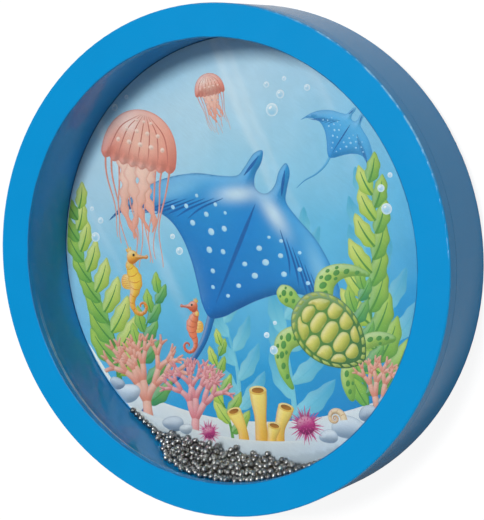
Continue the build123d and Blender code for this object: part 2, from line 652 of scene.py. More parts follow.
@dataclass(frozen=True)
class WaterWash(PaintedCard):
    """The painted water: pale above, strong blue below, with soft shafts of light."""

    depths: tuple[tuple[float, str], ...] = (
        (0.0, "#0a84c4"),
        (0.26, "#2a9fd6"),
        (0.46, "#68bfe4"),
        (0.66, "#93cee8"),
        (0.86, "#bcdeed"),
        (1.0, "#a6d3e7"),
    )
    half_width: float = 88.5 * MM
    tilt: float = 24.0
    drift_scale: float = 26.0
    drift_share: float = 0.22
    shaft: str = "#eef8fb"
    shaft_scale: float = 62.0
    shaft_waver: float = 12 * MM
    shaft_edges: Pair = (0.52, 0.72)
    shaft_rise: Pair = (0.25, 0.95)
    shaft_share: float = 0.5

    def colour(self, bench: Bench) -> Socket:
        """Give the colour of the water by its depth, with shafts of light from above.

        Args:
            bench: the material in the making.

        Returns:
            The socket of the colour.
        """
        graph = bench.graph
        across, up, _ = graph.split(graph.turned(bench.place, -math.radians(self.tilt)))
        drift = graph.drift(bench.place, self.drift_scale, detail=4.0)
        share = graph.math("MULTIPLY_ADD", up, 0.5 / self.half_width, 0.5)
        ramp = graph.wired("ShaderNodeValToRGB", graph.math("MULTIPLY_ADD", drift, self.drift_share, share))
        stops = ramp.color_ramp.elements
        while len(stops) < len(self.depths):
            stops.new(0.5)
        for stop, (level, colour) in zip(stops, self.depths):
            stop.position = level
            stop.color = rgba(colour)
        wavering = graph.math("MULTIPLY_ADD", drift, self.shaft_waver, across)
        lengthwise = graph.wired("ShaderNodeCombineXYZ", wavering).outputs[0]
        shafts = graph.noise(lengthwise, self.shaft_scale, detail=2.0)
        strength = graph.step(share, *self.shaft_rise, 0.0, self.shaft_share)
        light = graph.math("MULTIPLY", graph.step(shafts, *self.shaft_edges), strength)
        return graph.mix(light, ramp.outputs[0], rgba(self.shaft))


@dataclass(frozen=True)
class Gouache(PaintedCard):
    """The paint of the picture's motifs, whose colours lie in their meshes."""

    attribute: str = "paint"

    def colour(self, bench: Bench) -> Socket:
        """Give the colour that the mesh carries."""
        return bench.graph.node("ShaderNodeAttribute", attribute_name=self.attribute).outputs["Vector"]


# Painted shapes


def spline(before: Points, start: Points, end: Points, after: Points, shares: np.ndarray) -> Points:
    """Lay a smooth line from one point to the next.

    Args:
        before: the point before the line.
        start: where the line starts.
        end: where it ends.
        after: the point after the line.
        shares: how far along the line its points lie.

    Returns:
        The line's points.
    """
    bend = 2 * before - 5 * start + 4 * end - after
    twist = 3 * start - before - 3 * end + after
    return (2 * start + (end - before) * shares + bend * shares**2 + twist * shares**3) / 2


def loop_through(points: Sequence[Pair], per_span: int = 6) -> Points:
    """Lay a smooth closed line through points.

    Args:
        points: the points, in order.
        per_span: how many points the line gets from each one to the next.

    Returns:
        The line's points.
    """
    knots = np.array(points, float)
    shares = (np.arange(per_span) / per_span)[None, :, None]
    around = (np.roll(knots, turn, 0)[:, None] for turn in (1, 0, -1, -2))
    return spline(*around, shares).reshape(-1, 2)


def line_through(points: Sequence[Pair] | Points, count: int = 24) -> Points:
    """Lay a smooth open line through points.

    Args:
        points: the points, in order.
        count: how many points the line gets.

    Returns:
        The line's points.
    """
    knots = np.array(points, float)
    knots = np.vstack([2 * knots[0] - knots[1], knots, 2 * knots[-1] - knots[-2]])
    places = np.linspace(0, len(knots) - 3 - TINY, count)
    spans = places.astype(int)
    shares = (places - spans)[:, None]
    return spline(*(knots[spans + step] for step in range(4)), shares)


def swelling(width: float, count: int, start: float = 0.2, end: float = 3.0) -> np.ndarray:
    """Give the half widths of a stroke that swells and fades, as a sine does between two angles."""
    return width * np.sin(np.linspace(start, end, count))


def oval(at: Pair | Points, reach: Pair, turn: float = 0.0, count: int = 24) -> Points:
    """Draw an oval.

    Args:
        at: its middle.
        reach: its half length and half width.
        turn: how far it is turned, in degrees.
        count: how many points it has.

    Returns:
        Its outline.
    """
    angles = np.linspace(0, 2 * np.pi, count, endpoint=False)
    along, across = unit(turn), unit(turn + 90)
    spread = np.outer(np.cos(angles) * reach[0], along) + np.outer(np.sin(angles) * reach[1], across)
    return np.array(at) + spread


def mirrored(half: Sequence[Pair]) -> list[Pair]:
    """Close a right-hand half outline with its mirror image, leaving out points on the middle line."""
    return list(half) + [(-x, y) for x, y in reversed(half) if abs(x) > TOUCHING]


def rounded(corners: Points, times: int = 2) -> Points:
    """Cut the corners of a polygon, so that it becomes round.

    Args:
        corners: the corners, in order.
        times: how often they are cut.

    Returns:
        The outline.
    """
    near, far = 0.78, 0.22
    outline = np.array(corners, float)
    for _ in range(times):
        following = np.roll(outline, -1, 0)
        cut = (near * outline + far * following, far * outline + near * following)
        outline = np.stack(cut, 1).reshape(-1, 2)
    return outline


def shrunk(corners: Sequence[Pair] | Points, share: float) -> Points:
    """Draw a polygon's corners in towards its middle by a share."""
    points = np.array(corners, float)
    return points.mean(0) + (points - points.mean(0)) * (1 - share)


def inside(points: Points, outline: Points) -> np.ndarray:
    """Say which points lie inside an outline.

    Args:
        points: the points.
        outline: the closed outline.

    Returns:
        One truth value for each point.
    """
    ends = np.roll(outline, -1, 0)
    above = outline[:, 1] > points[:, 1, None]
    rise = ends[:, 1] - outline[:, 1]
    rise = np.where(rise == 0, TINY, rise)
    cut = outline[:, 0] + (points[:, 1, None] - outline[:, 1]) * (ends[:, 0] - outline[:, 0]) / rise
    crossed = (above != (ends[:, 1] > points[:, 1, None])) & (points[:, 0, None] < cut)
    return crossed.sum(1) % 2 == 1


def to_outline(points: Points, outline: Points) -> tuple[np.ndarray, Points]:
    """Find how deep points lie inside an outline.

    Args:
        points: the points.
        outline: the closed outline.

    Returns:
        Each point's distance to the outline and the direction to its nearest place.
    """
    step = np.roll(outline, -1, 0) - outline
    offset = points[:, None] - outline[None]
    share = np.clip((offset * step).sum(2) / np.maximum((step**2).sum(1), TINY), 0, 1)
    gap = offset - share[..., None] * step
    squares = (gap**2).sum(2)
    rows, nearest = np.arange(len(points)), squares.argmin(1)
    depth = np.sqrt(squares[rows, nearest])
    return depth, -gap[rows, nearest] / np.maximum(depth, TOUCHING)[:, None]


def filled(outline: Points, spacing: float) -> tuple[Points, list[Face]]:
    """Fill an outline with triangles.

    Args:
        outline: the closed outline.
        spacing: how far apart the points inside lie.

    Returns:
        The points and the triangles.
    """
    rim_inset, rim_clear, row_step, grid_clear = 0.35, 0.3, 0.87, 0.65
    around = np.roll(outline, -1, 0) - np.roll(outline, 1, 0)
    around /= np.maximum(np.linalg.norm(around, axis=1), TINY)[:, None]
    area = np.sum(outline[:, 0] * np.roll(outline[:, 1], -1) - np.roll(outline[:, 0], -1) * outline[:, 1])
    inwards = np.stack([-around[:, 1], around[:, 0]], 1) * (1.0 if area > 0 else -1.0)
    rim = outline + inwards * rim_inset * spacing
    low, high = outline.min(0), outline.max(0)
    columns = np.arange(low[0], high[0] + spacing, spacing)
    across, up = np.meshgrid(columns, np.arange(low[1], high[1], row_step * spacing))
    across[1::2] += spacing / 2
    grid = np.stack([across.ravel(), up.ravel()], 1)
    kept = [outline]
    for points, least in ((rim, rim_clear * spacing), (grid, grid_clear * spacing)):
        points = points[inside(points, outline)]
        if len(points):
            kept.append(points[to_outline(points, outline)[0] > least])
    count = len(outline)
    edges = [(place, (place + 1) % count) for place in range(count)]
    found = delaunay_2d_cdt([Vector(point) for point in np.vstack(kept)], edges, [], 1, TOUCHING)
    return np.array([tuple(point) for point in found[0]]), [tuple(face) for face in found[2]]


PAINTED_LIGHT = unit(118.0)


@dataclass(frozen=True)
class Glaze:
    """A soft spot of another colour over a wash, in the motif's own units."""

    at: Pair
    reach: Pair
    colour: str
    share: float = 0.7
    turn: float = 0.0

    def cover(self, points: Points) -> np.ndarray:
        """Say how much of the glaze lies on each point.

        Args:
            points: the points, in the motif's own units.

        Returns:
            One share for each point.
        """
        offset = points - np.array(self.at)
        along, across = offset @ unit(self.turn), offset @ unit(self.turn + 90)
        return self.share * np.exp(-((along / self.reach[0]) ** 2) - (across / self.reach[1]) ** 2)


@dataclass(frozen=True)
class Wash:
    """How a shape is painted: light to dark, rounded towards the light, with pigment pooled at its edge."""

    light: str
    dark: str
    edge: str
    heading: float = -90.0
    edge_width: float = 0.45
    edge_share: float = 0.55
    relief: float = 0.35
    relief_width: float = 2.5
    gleam: str = "#fbfbf6"
    glazes: tuple[Glaze, ...] = ()

    def along(self, local: Points) -> np.ndarray:
        """Say how far points lie along the heading, from 0 to 1."""
        far = local @ unit(self.heading)
        return (far - far.min()) / max(float(np.ptp(far)), TINY)

    def colours(self, local: Points, share: np.ndarray, depth: np.ndarray, outward: Points) -> np.ndarray:
        """Colour the points of a shape.

        Args:
            local: the points, in the motif's own units.
            share: how far each one lies from the light end to the dark end.
            depth: how deep each one lies inside the edge, in millimetres.
            outward: the direction from each one to the edge.

        Returns:
            One colour for each point.
        """
        share = smooth(share)[:, None]
        paint = linear(self.light) * (1 - share) + linear(self.dark) * share
        for glaze in self.glazes:
            cover = glaze.cover(local)[:, None]
            paint = paint * (1 - cover) + linear(glaze.colour) * cover
        lit = (outward @ PAINTED_LIGHT * self.relief * np.exp(-((depth / self.relief_width) ** 2)))[:, None]
        paint = paint + np.where(lit > 0, (linear(self.gleam) - paint) * lit, paint * lit)
        pool = (self.edge_share * np.exp(-depth / self.edge_width))[:, None]
        return np.clip(paint * (1 - pool) + linear(self.edge) * pool, 0, 1)


@dataclass(frozen=True)
class Placing:
    """Where a motif stands in the picture: a place in millimetres, a turn in degrees and a size."""

    at: Pair
    size: float
    turn: float = 0.0
    flip: bool = False

    def apply(self, local: Points) -> Points:
        """Take points from the motif's own units to the picture."""
        points = np.array(local, float) * [-1.0 if self.flip else 1.0, 1.0]
        return np.array(self.at) + self.size * (points @ np.array([unit(self.turn), unit(self.turn + 90)]))

    def undo(self, points: Points) -> Points:
        """Take points from the picture back to the motif's own units."""
        local = (points - np.array(self.at)) / self.size @ np.array([unit(self.turn), unit(self.turn + 90)]).T
        return local * [-1.0 if self.flip else 1.0, 1.0]


@dataclass
class InkStack:
    """The thin layers of paint on the card, each a hair above the last, in millimetres."""

    card_face: float
    sheet_radius: float
    first: float = 0.01
    rise: float = 0.0004
    laid: int = 0

    def level(self) -> float:
        """Give the level of the layer that is being painted."""
        return self.card_face + self.first + self.rise * self.laid

    def onto(self, points: Points) -> Points:
        """Draw points that would lie off the card in to its edge."""
        out = np.linalg.norm(points, axis=1)
        return points * np.minimum(1.0, self.sheet_radius / np.maximum(out, TINY))[:, None]


class Pad:
    """The painted shapes of one piece of the picture, in the order in which they are laid down."""

    SUNK = 0.02
    THINNEST = 0.03
    ACROSS = np.array([-1.0, -0.62, 0.0, 0.62, 1.0])

    def __init__(self, name: str, stack: InkStack) -> None:
        """Start an empty piece.

        Args:
            name: the piece's name.
            stack: the layers of paint on the card.
        """
        self.name = name
        self.stack = stack
        self.placing = Placing((0.0, 0.0), 1.0)
        self._points: list[Triple] = []
        self._faces: list[Face] = []
        self._paint: list[np.ndarray] = []

    def over(self, crown: float = 0.0) -> None:
        """Lay what follows over all that is there, also over strokes with a crown."""
        self.stack.laid += 1 + math.ceil(crown / self.stack.rise)

    def blot(self, outline: Points, wash: Wash, spacing: float = 1.0) -> None:
        """Paint a filled shape.

        Args:
            outline: its closed outline, in the motif's own units.
            wash: how it is painted.
            spacing: how far apart the points inside it lie, in millimetres.
        """
        edge = self.stack.onto(self.placing.apply(outline))
        points, faces = filled(edge, spacing)
        depth, outward = to_outline(points, edge)
        local = self.placing.undo(points)
        paint = wash.colours(local, wash.along(local), depth, outward)
        self._lay(points, faces, paint, np.zeros(len(points)))

    def stroke(self, path: Points, widths: Sequence[float], wash: Wash, crown: float = 0.0) -> None:
        """Paint a stroke of changing width.

        Args:
            path: its middle line, in the motif's own units.
            widths: its half width at each point of the line.
            wash: how it is painted, from light at its start to dark at its end.
            crown: how far its middle stands above its sides, in millimetres, so that it can cross others.
        """
        line = self.placing.apply(path)
        half = np.maximum(np.asarray(widths, float) * self.placing.size, self.THINNEST)
        heading = np.gradient(line, axis=0)
        heading /= np.maximum(np.linalg.norm(heading, axis=1), TINY)[:, None]
        side = np.stack([-heading[:, 1], heading[:, 0]], 1)
        count, wide = len(line), len(self.ACROSS)
        points = line[:, None] + (self.ACROSS[None, :] * half[:, None])[..., None] * side[:, None]
        points = self.stack.onto(points.reshape(-1, 2))
        depth = ((1 - np.abs(self.ACROSS))[None, :] * half[:, None]).ravel()
        outward = (np.sign(self.ACROSS)[None, :, None] * side[:, None]).reshape(-1, 2)
        share = np.repeat(np.linspace(0, 1, count), wide)
        cell = (0, 1, wide + 1, wide)
        faces = [
            tuple(row * wide + place + corner for corner in cell)
            for row in range(count - 1)
            for place in range(wide - 1)
        ]
        rounding = crown * np.tile(1 - self.ACROSS**2, count)
        self._lay(points, faces, wash.colours(self.placing.undo(points), share, depth, outward), rounding)

    def dots(
        self, spots: Sequence[Triple], shape: Pair, turn: float, wash: Wash, sides: Sequence[int] = (1,)
    ) -> None:
        """Paint small ovals.

        Args:
            spots: each one's place and radius, in the motif's own units.
            shape: its half length and half width as shares of the radius.
            turn: how far it is turned, in degrees.
            wash: how it is painted.
            sides: 1 for a spot as given, and -1 for its mirror image.
        """
        for x, y, radius in spots:
            for side in sides:
                reach = (shape[0] * radius, shape[1] * radius)
                self.blot(oval((side * x, y), reach, side * turn, 14), wash, 0.5)

    def _lay(self, points: Points, faces: Sequence[Face], paint: np.ndarray, crown: np.ndarray) -> None:
        """Add a shape as a thin closed layer.

        Args:
            points: its points, in the picture.
            faces: the faces of its top.
            paint: the colour of each point.
            crown: how far each point of the top stands above its layer, in millimetres.
        """
        top, foot = len(self._points), len(self._points) + len(points)
        level, below = self.stack.level(), self.stack.card_face - self.SUNK
        self._points += [(x, y, level + up) for (x, y), up in zip(points.tolist(), crown.tolist())]
        self._points += [(x, y, below) for x, y in points.tolist()]
        self._paint += [paint, paint]
        upright = []
        for face in faces:
            corners = points[list(face)]
            ahead = np.roll(corners, -1, 0)
            area = float(np.sum(corners[:, 0] * ahead[:, 1] - ahead[:, 0] * corners[:, 1]))
            upright.append(face if area > 0 else tuple(reversed(face)))
        sides = {(face[place - 1], face[place]) for face in upright for place in range(len(face))}
        walls = [(start, end) for start, end in sides if (end, start) not in sides]
        self._faces += [tuple(top + corner for corner in face) for face in upright]
        self._faces += [tuple(foot + corner for corner in reversed(face)) for face in upright]
        self._faces += [(top + end, top + start, foot + start, foot + end) for start, end in sorted(walls)]

    def finished(self, attribute: str, material: Material) -> bpy.types.Object:
        """Make the piece's object.

        Args:
            attribute: the name under which the mesh keeps its colours.
            material: the paint.

        Returns:
            The object, in metres.
        """
        mesh = bpy.data.meshes.new(self.name)
        mesh.from_pydata((np.array(self._points) * MM).tolist(), [], self._faces)
        colours = mesh.attributes.new(attribute, "FLOAT_VECTOR", "POINT")
        colours.data.foreach_set("vector", np.vstack(self._paint).astype(np.float32).ravel())
        mesh.materials.append(material)
        mesh.update()
        piece = bpy.data.objects.new(self.name, mesh)
        bpy.context.scene.collection.objects.link(piece)
        return piece


# Motifs of the picture


class Motif:
    """A thing in the picture, painted at its placing."""

    placing: Placing

    def paint(self, pad: Pad) -> None:
        """Paint the motif onto a pad."""
        raise NotImplementedError


@dataclass
class Dune(Motif):
    """A bank of pale sand along the foot of the picture."""

    crest: tuple[Pair, ...]
    wash: Wash
    placing: Placing = Placing((0.0, 0.0), 1.0)
    foot: float = -100.0
    spacing: float = 1.5

    def paint(self, pad: Pad) -> None:
        """Paint the bank from its crest down to the card's edge.

        Args:
            pad: the piece that it is painted on.
        """
        crest = line_through(self.crest, 70)
        foot = [(x, self.foot) for x in np.linspace(crest[-1][0], crest[0][0], 60)]
        pad.blot(np.vstack([crest, foot]), self.wash, self.spacing)


@dataclass
class Kelp(Motif):
    """A plant with a swaying stem and blades to both sides."""

    placing: Placing
    stem: Wash
    blades: tuple[Wash, ...]
    count: int = 13
    sway: float = 0.07
    phase: float = 0.0
    blade_length: float = 0.30
    blade_width: float = 0.045
    stem_width: float = 0.016
    rib_width: float = 0.006
    curl: float = 26.0

    STEM_WAVE = 5.2
    FOOT_SWAY = 0.4
    LOWEST_ROOT = 0.08
    ROOT_SPAN = 0.9
    LEAN, LEAN_LOSS, LEAN_CHANGE = 52, 22, 9

    def _stem(self, share: float) -> np.ndarray:
        """Give the place on the stem at a share of its height."""
        swing = math.sin(self.STEM_WAVE * share + self.phase)
        return np.array([self.sway * swing * (self.FOOT_SWAY + share), share])

    def _blade(self, number: int) -> tuple[Points, np.ndarray]:
        """Lay a blade, shorter and steeper the higher it stands.

        Args:
            number: which blade it is, from the foot up.

        Returns:
            Its middle line and its half widths.
        """
        share = self.LOWEST_ROOT + self.ROOT_SPAN * number / (self.count - 1)
        side = -1 if number % 2 else 1
        change = self.LEAN_CHANGE * math.sin(3.1 * number + self.phase)
        lean = 90 - side * (self.LEAN - self.LEAN_LOSS * share + change)
        length = self.blade_length * (1.08 - 0.5 * share)
        path = [self._stem(share)]
        for piece in range(10):
            path.append(path[-1] + 0.1 * length * unit(lean + side * self.curl * piece / 10))
        along = np.linspace(0, 1, 30)
        wave = 1 + 0.10 * np.sin(17 * along + number)
        widths = self.blade_width * np.sin(np.pi * along**0.8) ** 0.75 * wave * (1.15 - 0.4 * share)
        return line_through(path, 30), widths

    def paint(self, pad: Pad) -> None:
        """Paint the stem, then the blades with their midribs.

        Args:
            pad: the piece that it is painted on.
        """
        shares = np.linspace(0, 1, 40)
        line = np.array([self._stem(share) for share in shares])
        pad.stroke(line, self.stem_width * (1.1 - shares), self.stem)
        for number in range(self.count):
            pad.over()
            line, widths = self._blade(number)
            pad.stroke(line, widths, self.blades[number % len(self.blades)])
            pad.over()
            pad.stroke(line[:24], np.linspace(self.rib_width, self.rib_width / 4, 24), self.stem)


@dataclass
class SeaFan(Motif):
    """A branching coral."""

    placing: Placing
    wash: Wash
    seed: int
    depth: int = 6
    trunk: float = 0.05
    crown: float = 0.006
    trunk_length: float = 0.27
    bend: float = 14.0
    first_fork: float = 30.0
    fork: Pair = (17.0, 27.0)
    shorter: Pair = (0.70, 0.88)
    thinner: float = 0.80

    def paint(self, pad: Pad) -> None:
        """Paint the branches, the thickest first.

        Args:
            pad: the piece that it is painted on.
        """
        draw = random.Random(self.seed)
        tips = [(np.array([0.0, 0.0]), 90.0, self.trunk_length, self.trunk)]
        for level in range(self.depth):
            following = []
            for start, heading, length, width in tips:
                bend = draw.uniform(-self.bend, self.bend)
                middle = start + 0.5 * length * unit(heading)
                end = middle + 0.5 * length * unit(heading + bend)
                last = level == self.depth - 1
                taper = np.linspace(width, width * (0.45 if last else 0.82), 12)
                pad.stroke(line_through([start, middle, end], 12), taper, self.wash, self.crown)
                spread = draw.uniform(*self.fork) if level else self.first_fork
                turns = [-spread, spread] if level else [-spread, 0.0, spread]
                for turn in turns:
                    reach = length * draw.uniform(*self.shorter)
                    following.append((end, heading + bend + turn, reach, width * self.thinner))
            tips = following
        pad.over(self.crown)


@dataclass
class Pebbles(Motif):
    """Rounded stones, each given by its place, its half length and half width, and its turn."""

    stones: tuple[tuple[float, float, float, float, float], ...]
    washes: tuple[Wash, ...]
    placing: Placing = Placing((0.0, 0.0), 1.0)
    unevenness: float = 0.06

    def paint(self, pad: Pad) -> None:
        """Paint the stones, one over the other.

        Args:
            pad: the piece that it is painted on.
        """
        angles = np.linspace(0, 2 * np.pi, 36, endpoint=False)
        for number, (x, y, length, width, turn) in enumerate(self.stones):
            uneven = (1 + self.unevenness * np.sin(3 * angles + number))[:, None]
            outline = (x, y) + (oval((x, y), (length, width), turn, 36) - (x, y)) * uneven
            pad.blot(outline, self.washes[number % len(self.washes)])
            pad.over()


@dataclass
class Urchin(Motif):
    """A spiny ball."""

    placing: Placing
    spines: Wash
    core: Wash
    count: int = 46
    short_count: int = 16
    core_reach: Pair = (0.52, 0.48)
    golden_angle: float = 137.5

    SPINE_WIDTHS = (0.045, 0.035, 0.008)
    SHORT_WIDTHS = (0.03, 0.022, 0.006)
    SHORT_REACH = (1.0, 1.35, 1.7)

    def paint(self, pad: Pad) -> None:
        """Paint the spines, then the body with short spines over it.

        Args:
            pad: the piece that it is painted on.
        """
        for number in range(self.count):
            way = unit(360.0 * number / self.count + 4 * math.sin(5.0 * number))
            length = 1.0 - 0.16 * (number % 3)
            line = np.array([0.2 * way, 0.6 * length * way, length * way])
            pad.stroke(line, self.SPINE_WIDTHS, self.spines)
        pad.over()
        pad.blot(oval((0, 0), self.core_reach, 0, 36), self.core, 0.7)
        pad.over()
        for number in range(self.short_count):
            start = 0.36 * math.sqrt((number + 0.5) / self.short_count) * unit(self.golden_angle * number)
            line = np.array([start * reach for reach in self.SHORT_REACH])
            pad.stroke(line, self.SHORT_WIDTHS, self.spines)


@dataclass
class SpiralShell(Motif):
    """A coiled shell seen from the side of its coil."""

    placing: Placing
    wash: Wash
    band: Wash
    turns: float = 2.3
    mouth: float = 0.74
    tightening: float = 0.19
    tube: float = 0.385
    band_bow: float = 5.0

    BAND_PLACES = range(3, 78, 5)
    BAND_HALF = 0.3

    def paint(self, pad: Pad) -> None:
        """Paint the coil from its mouth inwards, and the bands across it.

        Args:
            pad: the piece that it is painted on.
        """
        angles = np.linspace(0, 2 * np.pi * self.turns, 90)
        radii = self.mouth * np.exp(-self.tightening * angles)
        path = np.stack([radii * np.cos(angles - 0.5), radii * np.sin(angles - 0.5)], 1)
        pad.stroke(path, self.tube * radii, self.wash)
        pad.over()
        for place in self.BAND_PLACES:
            way = path[place] / radii[place]
            middle, half = radii[place], self.BAND_HALF * radii[place]
            bowed = unit(math.degrees(math.atan2(way[1], way[0])) + self.band_bow)
            line = np.array([way * (middle - half), bowed * middle, way * (middle + half)])
            pad.stroke(line, (0.004, 0.03 * middle, 0.006), self.band)


@dataclass
class TubeSponge(Motif):
    """A cluster of open tubes, each given by its foot, its height, its lean and its half width."""

    placing: Placing
    wash: Wash
    lip: Wash
    mouth: Wash
    tubes: tuple[tuple[float, float, float, float], ...]
    lip_reach: Pair = (1.12, 0.52)
    mouth_reach: Pair = (0.78, 0.32)

    def paint(self, pad: Pad) -> None:
        """Paint the tubes from back to front, each with its lip and dark mouth.

        Args:
            pad: the piece that it is painted on.
        """
        shares = np.linspace(0, 1, 26)
        bulge = 0.72 + 0.34 * shares**2 + 0.07 * np.sin(9 * shares)
        for foot, height, lean, width in self.tubes:
            base = np.array([foot, 0.0])
            top = base + height * unit(90 - lean)
            middle = base + 0.5 * height * unit(90 - 0.4 * lean)
            line = line_through([base, middle, top], 26)
            pad.stroke(line[::-1], width * bulge[::-1], self.wash)
            pad.over()
            for reach, wash, count in ((self.lip_reach, self.lip, 28), (self.mouth_reach, self.mouth, 24)):
                pad.blot(oval(top, (reach[0] * width, reach[1] * width), -lean, count), wash, 0.6)
                pad.over()


@dataclass
class Bubbles(Motif):
    """Rising bubbles, each given by its place and radius."""

    rounds: tuple[Triple, ...]
    rim: Wash
    glint: Wash
    placing: Placing = Placing((0.0, 0.0), 1.0)
    glint_reach: Pair = (0.3, 0.17)

    def paint(self, pad: Pad) -> None:
        """Paint each bubble as a pale ring with a glint.

        Args:
            pad: the piece that it is painted on.
        """
        for x, y, radius in self.rounds:
            pad.blot(oval((x, y), (radius, radius), 0, 26), self.rim, 0.55)
        pad.over()
        for x, y, radius in self.rounds:
            at = np.array([x, y]) + 0.42 * radius * unit(128)
            reach = (self.glint_reach[0] * radius, self.glint_reach[1] * radius)
            pad.blot(oval(at, reach, 38, 12), self.glint, 0.5)


@dataclass
class MantaRay(Motif):
    """A ray seen from above, heading up in its own units, with a half span of about 1."""

    placing: Placing
    body: Wash
    tail: Wash
    spot: Wash
    fold: Wash

    HALF = (
        (0.0, 0.395), (0.06, 0.42), (0.088, 0.50), (0.078, 0.60), (0.105, 0.68), (0.162, 0.63),
        (0.190, 0.51), (0.222, 0.425), (0.34, 0.365), (0.57, 0.275), (0.80, 0.11), (0.97, -0.10),
        (1.09, -0.37), (0.99, -0.24), (0.82, -0.14), (0.63, -0.125), (0.46, -0.20), (0.31, -0.33),
        (0.19, -0.47), (0.10, -0.58), (0.0, -0.64),
    )
    TAIL = ((0.0, -0.58), (0.02, -0.85), (-0.05, -1.15), (-0.20, -1.45), (-0.27, -1.72))
    RIDGE = ((0.0, 0.30), (0.0, 0.0), (0.0, -0.52))
    FOLDS = 6
    WING_FOLD = ((0.26, 0.07, 0.22, -0.035), (0.40, 0.085, 0.07, -0.045), (0.47, 0.095, -0.05, -0.035))
    FIN_FOLD = ((0.17, 0.45), (0.142, 0.54), (0.118, 0.63))
    SPOTS = (
        (0.16, 0.02, 0.020), (0.25, -0.05, 0.024), (0.34, 0.05, 0.018), (0.10, -0.14, 0.018),
        (0.21, -0.18, 0.022), (0.42, -0.06, 0.020), (0.52, 0.03, 0.016), (0.12, -0.31, 0.017),
        (0.62, -0.03, 0.015), (0.07, -0.42, 0.014), (0.30, 0.15, 0.014), (0.47, 0.14, 0.013),
        (0.20, 0.13, 0.012),
    )

    def paint(self, pad: Pad) -> None:
        """Paint the tail, the body with its wings, the folds of the wings and the spots.

        Args:
            pad: the piece that it is painted on.
        """
        pad.stroke(line_through(self.TAIL, 40), np.linspace(0.034, 0.006, 40), self.tail)
        pad.over()
        pad.blot(loop_through(mirrored(self.HALF), 7), self.body, 0.9)
        pad.over()
        for side in (-1, 1):
            for number in range(self.FOLDS):
                wing = [(side * (x + out * number), y + up * number) for x, out, y, up in self.WING_FOLD]
                pad.stroke(line_through(wing, 16), swelling(0.008, 16), self.fold)
            fin = line_through([(side * x, y) for x, y in self.FIN_FOLD], 14)
            pad.stroke(fin, swelling(0.012, 14), self.fold)
        pad.stroke(line_through(self.RIDGE, 30), swelling(0.016, 30, 0.1), self.fold)
        pad.over()
        pad.dots(self.SPOTS, (1.2, 1.0), 20, self.spot, (-1, 1))


@dataclass
class Jellyfish(Motif):
    """A jellyfish with a bell 2 units wide, frilled arms and thin tentacles."""

    placing: Placing
    bell: Wash
    under: Wash
    arm: Wash
    thread: Wash
    spot: Wash
    drift: float = 0.35
    seed: int = 1
    crown: float = 0.003

    TRAIL_POINTS = 44
    THREADS = 11
    ARMS = (-0.36, 0.34, -0.12, 0.13)
    RIBS = (-0.78, -0.52, -0.26, 0.0, 0.26, 0.52, 0.78)
    SPOT_ROWS = ((0.86, 0.28, 0.045), (0.62, 0.56, 0.062), (0.34, 0.74, 0.07))

    def _trail(self, start: float, length: float, wave: float, phase: float) -> Points:
        """Lay a trailing line down from under the bell.

        Args:
            start: where under the bell it hangs, across.
            length: how far down it reaches.
            wave: how far it swings to the sides.
            phase: where its swing starts.

        Returns:
            The line's points.
        """
        shares = np.linspace(0, 1, self.TRAIL_POINTS)
        across = start * (1 - 0.35 * shares) + self.drift * shares**1.6
        across = across + wave * np.sin(7.5 * shares + phase) * (0.25 + shares)
        return np.stack([across, -0.02 - length * shares], 1)

    def paint(self, pad: Pad) -> None:
        """Paint the tentacles, the underside, the arms and the bell with its ribs and spots.

        Args:
            pad: the piece that it is painted on.
        """
        draw = random.Random(self.seed)
        for start in np.linspace(-0.86, 0.86, self.THREADS):
            line = self._trail(start, draw.uniform(1.6, 2.5), 0.07, draw.uniform(0, 6.3))
            pad.stroke(line, np.linspace(0.026, 0.009, self.TRAIL_POINTS), self.thread, self.crown)
        pad.over(self.crown)
        shares = np.linspace(0, 1, self.TRAIL_POINTS)
        for number, start in enumerate(self.ARMS):
            line = self._trail(start, 1.75 - 0.25 * (number % 2), 0.10, 1.9 * number)
            frill = 1 + 0.30 * np.sin(31 * shares + number)
            pad.stroke(line, (0.17 * (1 - shares) ** 0.7 + 0.012) * frill, self.arm)
            pad.over()
        pad.blot(oval((0.0, 0.02), (0.95, 0.17), 0, 40), self.under, 0.9)
        pad.over()
        dome = [(math.cos(angle), 1.12 * math.sin(angle) ** 0.86) for angle in np.linspace(0, math.pi, 40)]
        hem = []
        for place in np.linspace(-1, 1, 64)[1:-1]:
            sag = -0.13 * math.sqrt(max(0.0, 1 - place * place))
            hem.append((place, sag - 0.075 * abs(math.sin(4 * math.pi * place))))
        pad.blot(np.array(dome + hem), self.bell, 0.9)
        pad.over()
        for place in self.RIBS:
            rib = [(0.16 * place, 1.0), (0.72 * place, 0.66), (0.96 * place, 0.22), (place, -0.02)]
            pad.stroke(line_through(rib, 24), swelling(0.016, 24, 0.15), self.under)
        pad.over()
        for row, (level, wide, size) in enumerate(self.SPOT_ROWS):
            for number in range(3 + row):
                place = wide * (2 * (number + 0.5) / (3 + row) - 1)
                squeeze = math.sqrt(max(0.08, 1 - place * place))
                pad.blot(oval((place, level), (size * squeeze, 0.8 * size), 0, 16), self.spot, 0.5)


